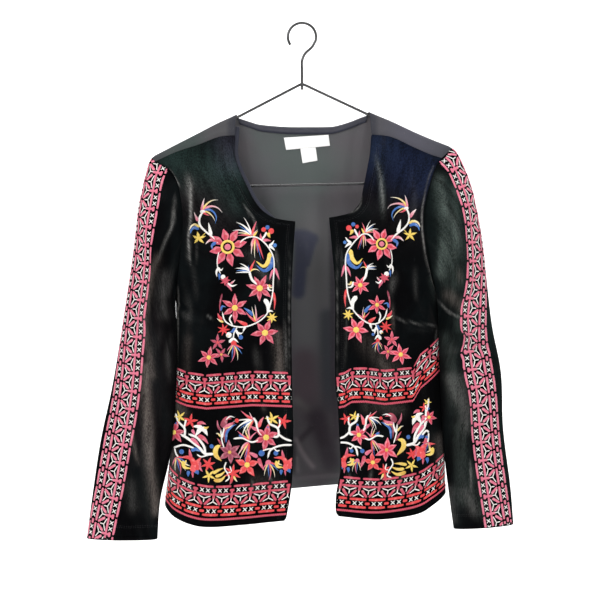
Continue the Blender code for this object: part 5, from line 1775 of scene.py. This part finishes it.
print("jacket: sewing up the velvet and the knit")
velvet, knit, thread = velvetFinish(), knitFinish(), threadFinish()
tape, label, wire = tapeFinish(), labelFinish(), wireFinish()
cloths, guides = {}, {}
seamPull = 0.05  # keeps pieces apart where they share a seam
for name, sheet in sheets.items():
    wall, finish = (body["knit"], knit) if name == "back" else (body["velvet"], velvet)
    way = 1 if name.startswith("sleeve") else -1
    cloths[name] = clothPiece("cloth_" + name, sheet, wall, finish, seamPull, way)
    guides[name] = layingGuide(sheet)
trimPieces = {}
for name, sheet in trimSheets.items():
    finish, wall = (label, trims["ribbon"]) if name.startswith("label") else (tape, trims["tape"])
    trimPieces[name] = clothPiece(name + "_cloth", sheet, wall, finish, 0, 0)


# A design laid on a panel. Where the map is a mirror image, the faces are turned back outwards.
def lay(name, tree, cloth, mapName, inputs, base=None):
    piece = grow(name, tree, {"Cloth": guides[cloth], "Thread": thread, **inputs}, base)
    sheet = sheets[cloth]
    a, b, c = (sheet["maps"][mapName][sheet["faces"][:, corner]] for corner in range(3))
    turn = ((b - a)[:, 0] * (c - b)[:, 1] - (b - a)[:, 1] * (c - b)[:, 0])
    if np.median(turn) < 0:
        piece.data.flip_normals()
    return piece


print("jacket: embroidering the bands")
repeats = {mapName: repeatTree(mapName) for mapName in ("cloth", "belt", "view", "band")}
frontUnit = bandUnit("red", "pink", True).flat("front unit")
sleeveUnit = bandUnit("rose", "rose", False).flat("sleeve unit")
# Panel, map, unit, repeats, first place along and across in mm, step.
bandRows = {
    "lower": ("front_", "cloth", frontUnit, 9, 3.0, 9.5, bandLook["pitch"]),
    "upper": ("front_", "belt", frontUnit, 9, 3.0, belt["origin"], bandLook["pitch"]),
    "sleeve": ("sleeve_", "band", sleeveUnit, 25, 15.2, sleeveBand["origin"] - 2, 24.4),
}
embroidery = {}
for side in bothSides:
    for level, (panel, mapName, unitObject, count, first, height, pitch) in bandRows.items():
        inputs = {"Unit": unitObject, "Repeats": count, "Start": Vector((first, height, 0)) * mm,
                  "Step": Vector((pitch * mm, 0, 0))}
        piece = lay(f"band_{level}_{side}", repeats[mapName], panel + side, mapName, inputs)
        embroidery.setdefault(panel + side, []).append(piece)

print("jacket: sewing the edges")
stitches = {"length": 2.3, "width": 0.62, "step": 0.0031, "lift": -0.00012, "edge": (8.0, 10.6),
            "cuff": (17.0, 19.2)}
threads = Threads()
halfStitch = stitches["length"] / 2
threads.bar((-halfStitch, 0), (halfStitch, 0), stitches["width"], "soot", 0.34, 1, 2)
stitchUnit = threads.flat("stitch unit")
clothStitches, cuffStitches = stitchTree("cloth"), stitchTree("cuff")


def sew(name, tree, cloth, mapName, start, stop):
    inputs = {"Unit": stitchUnit, "Step": stitches["step"], "Lift": stitches["lift"]}
    piece = lay(name, tree, cloth, mapName, inputs, lineObject([(*start, 0), (*stop, 0)]))
    embroidery[cloth].append(piece)


for side in bothSides:
    for index, gap in enumerate(stitches["edge"]):
        sew(f"stitches_edge_{side}_{index}", clothStitches, "front_" + side, "cloth",
            (gap * mm, 0.004), (gap * mm, 0.52))
    for index, gap in enumerate(stitches["cuff"]):
        sew(f"stitches_cuff_{side}_{index}", cuffStitches, "sleeve_" + side, "cuff",
            (0.05, gap * mm), (0.25, gap * mm))

print("jacket: embroidering the flowers")
# Centres as X and Z, and how the pulled cloth warps each design.
asDrawn = {"from": (-200, 200), "to": (-200, 200), "up": (0, 0)}
sprays = {
    "right": {"flip": 1, "hues": {"rose": "blush"}, "chest": (-99, -302), "chest warp": asDrawn,
              "band": (-95.4, -573.7), "band warp": asDrawn},
    "left": {"flip": -1, "chest": (106, -298),
             "hues": {"wine": "cherry", "mallow": "blossom", "crimson": "cherry", "rose": "blossom"},
             "chest warp": {"from": (-200, 0, 43, 50, 62, 200), "to": (-200, 0, 29, 34.4, 48.4, 156),
                            "up": (0, 0, 0, 0, 0, 0)},
             "band": (111.4, -570.4),
             "band warp": {"from": (-90, -76, -51, -28, 0, 23, 48, 90),
                           "to": (-66, -57.4, -50.6, -33.7, 0, 18.3, 36.4, 68),
                           "up": (20, 17.8, 14.4, 10.4, 0, 0, 0, 0)}},
}
for side, look in sprays.items():
    name = "front_" + side
    for place, spray in (("chest", chestSpray), ("band", bandSpray)):
        threads = Threads()
        drawSpray(threads, spray, look[place + " warp"], look["hues"])
        design = threads.flat("spray", look["flip"])
        start = Vector((*np.add(look[place], viewOrigin), 0)) * mm
        inputs = {"Unit": design, "Start": start}
        embroidery[name].append(lay(f"flowers_{place}_{side}", repeats["view"], name, "view", inputs))
        bpy.data.objects.remove(design)

print("jacket: bending the hanger")
hanger = {
    "wire": 3.5, "coated": 3.8, "tilt": math.radians(1.2), "slope": 0.49, "apex": -81.0,
    "apex radius": 6.0, "bar": -217.0, "end bend": 25.0, "hook radius": 19.0, "eye radius": 3.85,
    "eye": -83.5, "tip turn": math.radians(215), "hook end": math.radians(196),
    "sweep": ((13.3, 0, -31), (4, 0, -40), (0, 0, -50), (0, 1.2, -62), (0, 3.85, -74), (0, 3.85, -83.5)),
}


def arc(centre, first, second, radius, start, stop, steps):
    angles = np.linspace(start, stop, steps + 1)[:, None]
    return np.array(centre, float) + (np.array(first, float) * np.cos(angles)
                                      + np.array(second, float) * np.sin(angles)) * radius


def frameLine():
    h = hanger
    slope = math.atan(h["slope"])
    reach = (h["apex"] - h["bar"] - h["end bend"] - h["end bend"] / math.cos(slope)) / h["slope"]
    half = np.vstack([
        arc((0, 0, h["apex"] - h["apex radius"]), (1, 0, 0), (0, 0, 1), h["apex radius"], math.pi / 2,
            math.pi / 2 - slope, 8),
        arc((reach, 0, h["bar"] + h["end bend"]), (1, 0, 0), (0, 0, 1), h["end bend"], math.pi / 2 - slope,
            -math.pi / 2, 40)])
    points = np.vstack([half, (half[1:] * (-1, 1, 1))[::-1]])
    x, z = points[:, 0].copy(), points[:, 2] - h["apex"]
    points[:, 0] = x * math.cos(h["tilt"]) - z * math.sin(h["tilt"])
    points[:, 2] = h["apex"] + x * math.sin(h["tilt"]) + z * math.cos(h["tilt"])
    return points


def hookLine():
    h = hanger
    tip = -math.pi / 2 + (math.radians(270) - h["tip turn"])
    turn = arc((0, 0, h["wire"] / 2 - h["hook radius"]), (-1, 0, 0), (0, 0, 1), h["hook radius"], tip,
               h["hook end"], 60)
    sweep = along([tuple(turn[-1]), *h["sweep"]], even(48))[1:]
    eye = arc((0, 0, h["eye"]), (0, 1, 0), (0, 0, -1), h["eye radius"], 0, math.pi, 24)[1:]
    return np.vstack([turn, sweep, eye, [(0, -h["eye radius"], h["eye"] + 4)]])


bent = wireTree()
wireInputs = {"Radius": hanger["coated"] / 2 * mm, "Sides": 18, "Finish": wire}
framePiece = grow("wire_frame", bent, wireInputs, lineObject(frameLine() * mm, True))
hookPiece = grow("wire_hook", bent, wireInputs, lineObject(hookLine() * mm))

for item in (frontUnit, sleeveUnit, stitchUnit, *guides.values()):
    bpy.data.objects.remove(item)

print("jacket: setting the studio")
studio = {
    "camera": (-0.0027, -1.9, -0.3726), "lens": 84.4, "sensor": 36.0,
    "floor": -1.05, "wall": 3.0, "sweep": 1.2, "width": 9.0, "front": -3.4,
    "sky": 0.85,
}


def addCamera():
    lens = bpy.data.cameras.new("camera")
    lens.lens, lens.sensor_width = studio["lens"], studio["sensor"]
    camera = newObject("camera", lens)
    camera.location = studio["camera"]
    camera.rotation_euler = (math.radians(90), 0, 0)
    bpy.context.scene.camera = camera


def addLight(name, place, aim, size, power):
    lamp = bpy.data.lights.new(name, "AREA")
    lamp.shape, lamp.size, lamp.size_y = "RECTANGLE", *size
    lamp.energy = power
    item = newObject(name, lamp)
    item.location = place
    item.rotation_euler = (Vector(aim) - Vector(place)).to_track_quat("-Z", "Y").to_euler()


# A pale floor runs up into the wall behind in one curve.
def addFloor():
    s = studio
    bend = arc((0, s["wall"] - s["sweep"], s["floor"] + s["sweep"]), (0, 1, 0), (0, 0, 1), s["sweep"],
               -math.pi / 2, 0, 16)
    profile = np.vstack([[(0, s["front"], s["floor"])], bend, [(0, s["wall"], 3.0)]])
    points = np.vstack([profile + (x, 0, 0) for x in (-s["width"] / 2, s["width"] / 2)])
    count = len(profile)
    faces = [[index, index + count, index + count + 1, index + 1] for index in range(count - 1)]
    f = Finish("pale paper")
    fibre = f.noise(f.place(), 40.0, 3.0)
    colour = f.mix(fibre * 0.2, (0.90, 0.90, 0.90), (0.84, 0.84, 0.845))
    material = f.done(f.surface({"Roughness": 0.9}, Base_Color=colour))
    floor = newPiece("floor", points, faces, material)
    floor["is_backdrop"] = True


addCamera()
addFloor()
world = bpy.data.worlds.new("studio")
world.use_nodes = True
world.node_tree.nodes["Background"].inputs["Color"].default_value = (1, 1, 1, 1)
world.node_tree.nodes["Background"].inputs["Strength"].default_value = studio["sky"]
bpy.context.scene.world = world
bpy.context.scene.view_settings.view_transform = "Standard"
addLight("key", (-1.3, -1.5, 0.9), (0, 0, -0.4), (1.0, 1.0), 26)
addLight("fill", (1.6, -1.4, 0.1), (0, 0, -0.4), (1.2, 1.4), 9)
addLight("top", (0.1, -0.25, 1.1), (0, 0, -0.15), (0.9, 0.4), 9)
addLight("wall", (0, 1.3, 2.0), (0, 3.0, -0.6), (3.0, 0.6), 95)

def dressed(piece, slot, node):
    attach(piece, "root")
    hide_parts(node)


print("jacket: putting every piece on the frame")
for name, piece in cloths.items():
    dressed(piece, "knit" if name == "back" else "velvet", name)
    sewnOn = embroidery.get(name, [])
    for part in sewnOn:
        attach(part, "root")
dressed(framePiece, "wire", "hanger_frame")
dressed(hookPiece, "wire", "hanger_hook")
for name, piece in trimPieces.items():
    dressed(piece, "label" if name.startswith("label") else "tape", name)
    rests = "cloth_front_right" if name == "facing_right" else "cloth_back"

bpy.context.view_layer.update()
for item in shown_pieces():
    item.data.calc_loop_triangles()
    print("piece", item.name, len(item.data.loop_triangles))
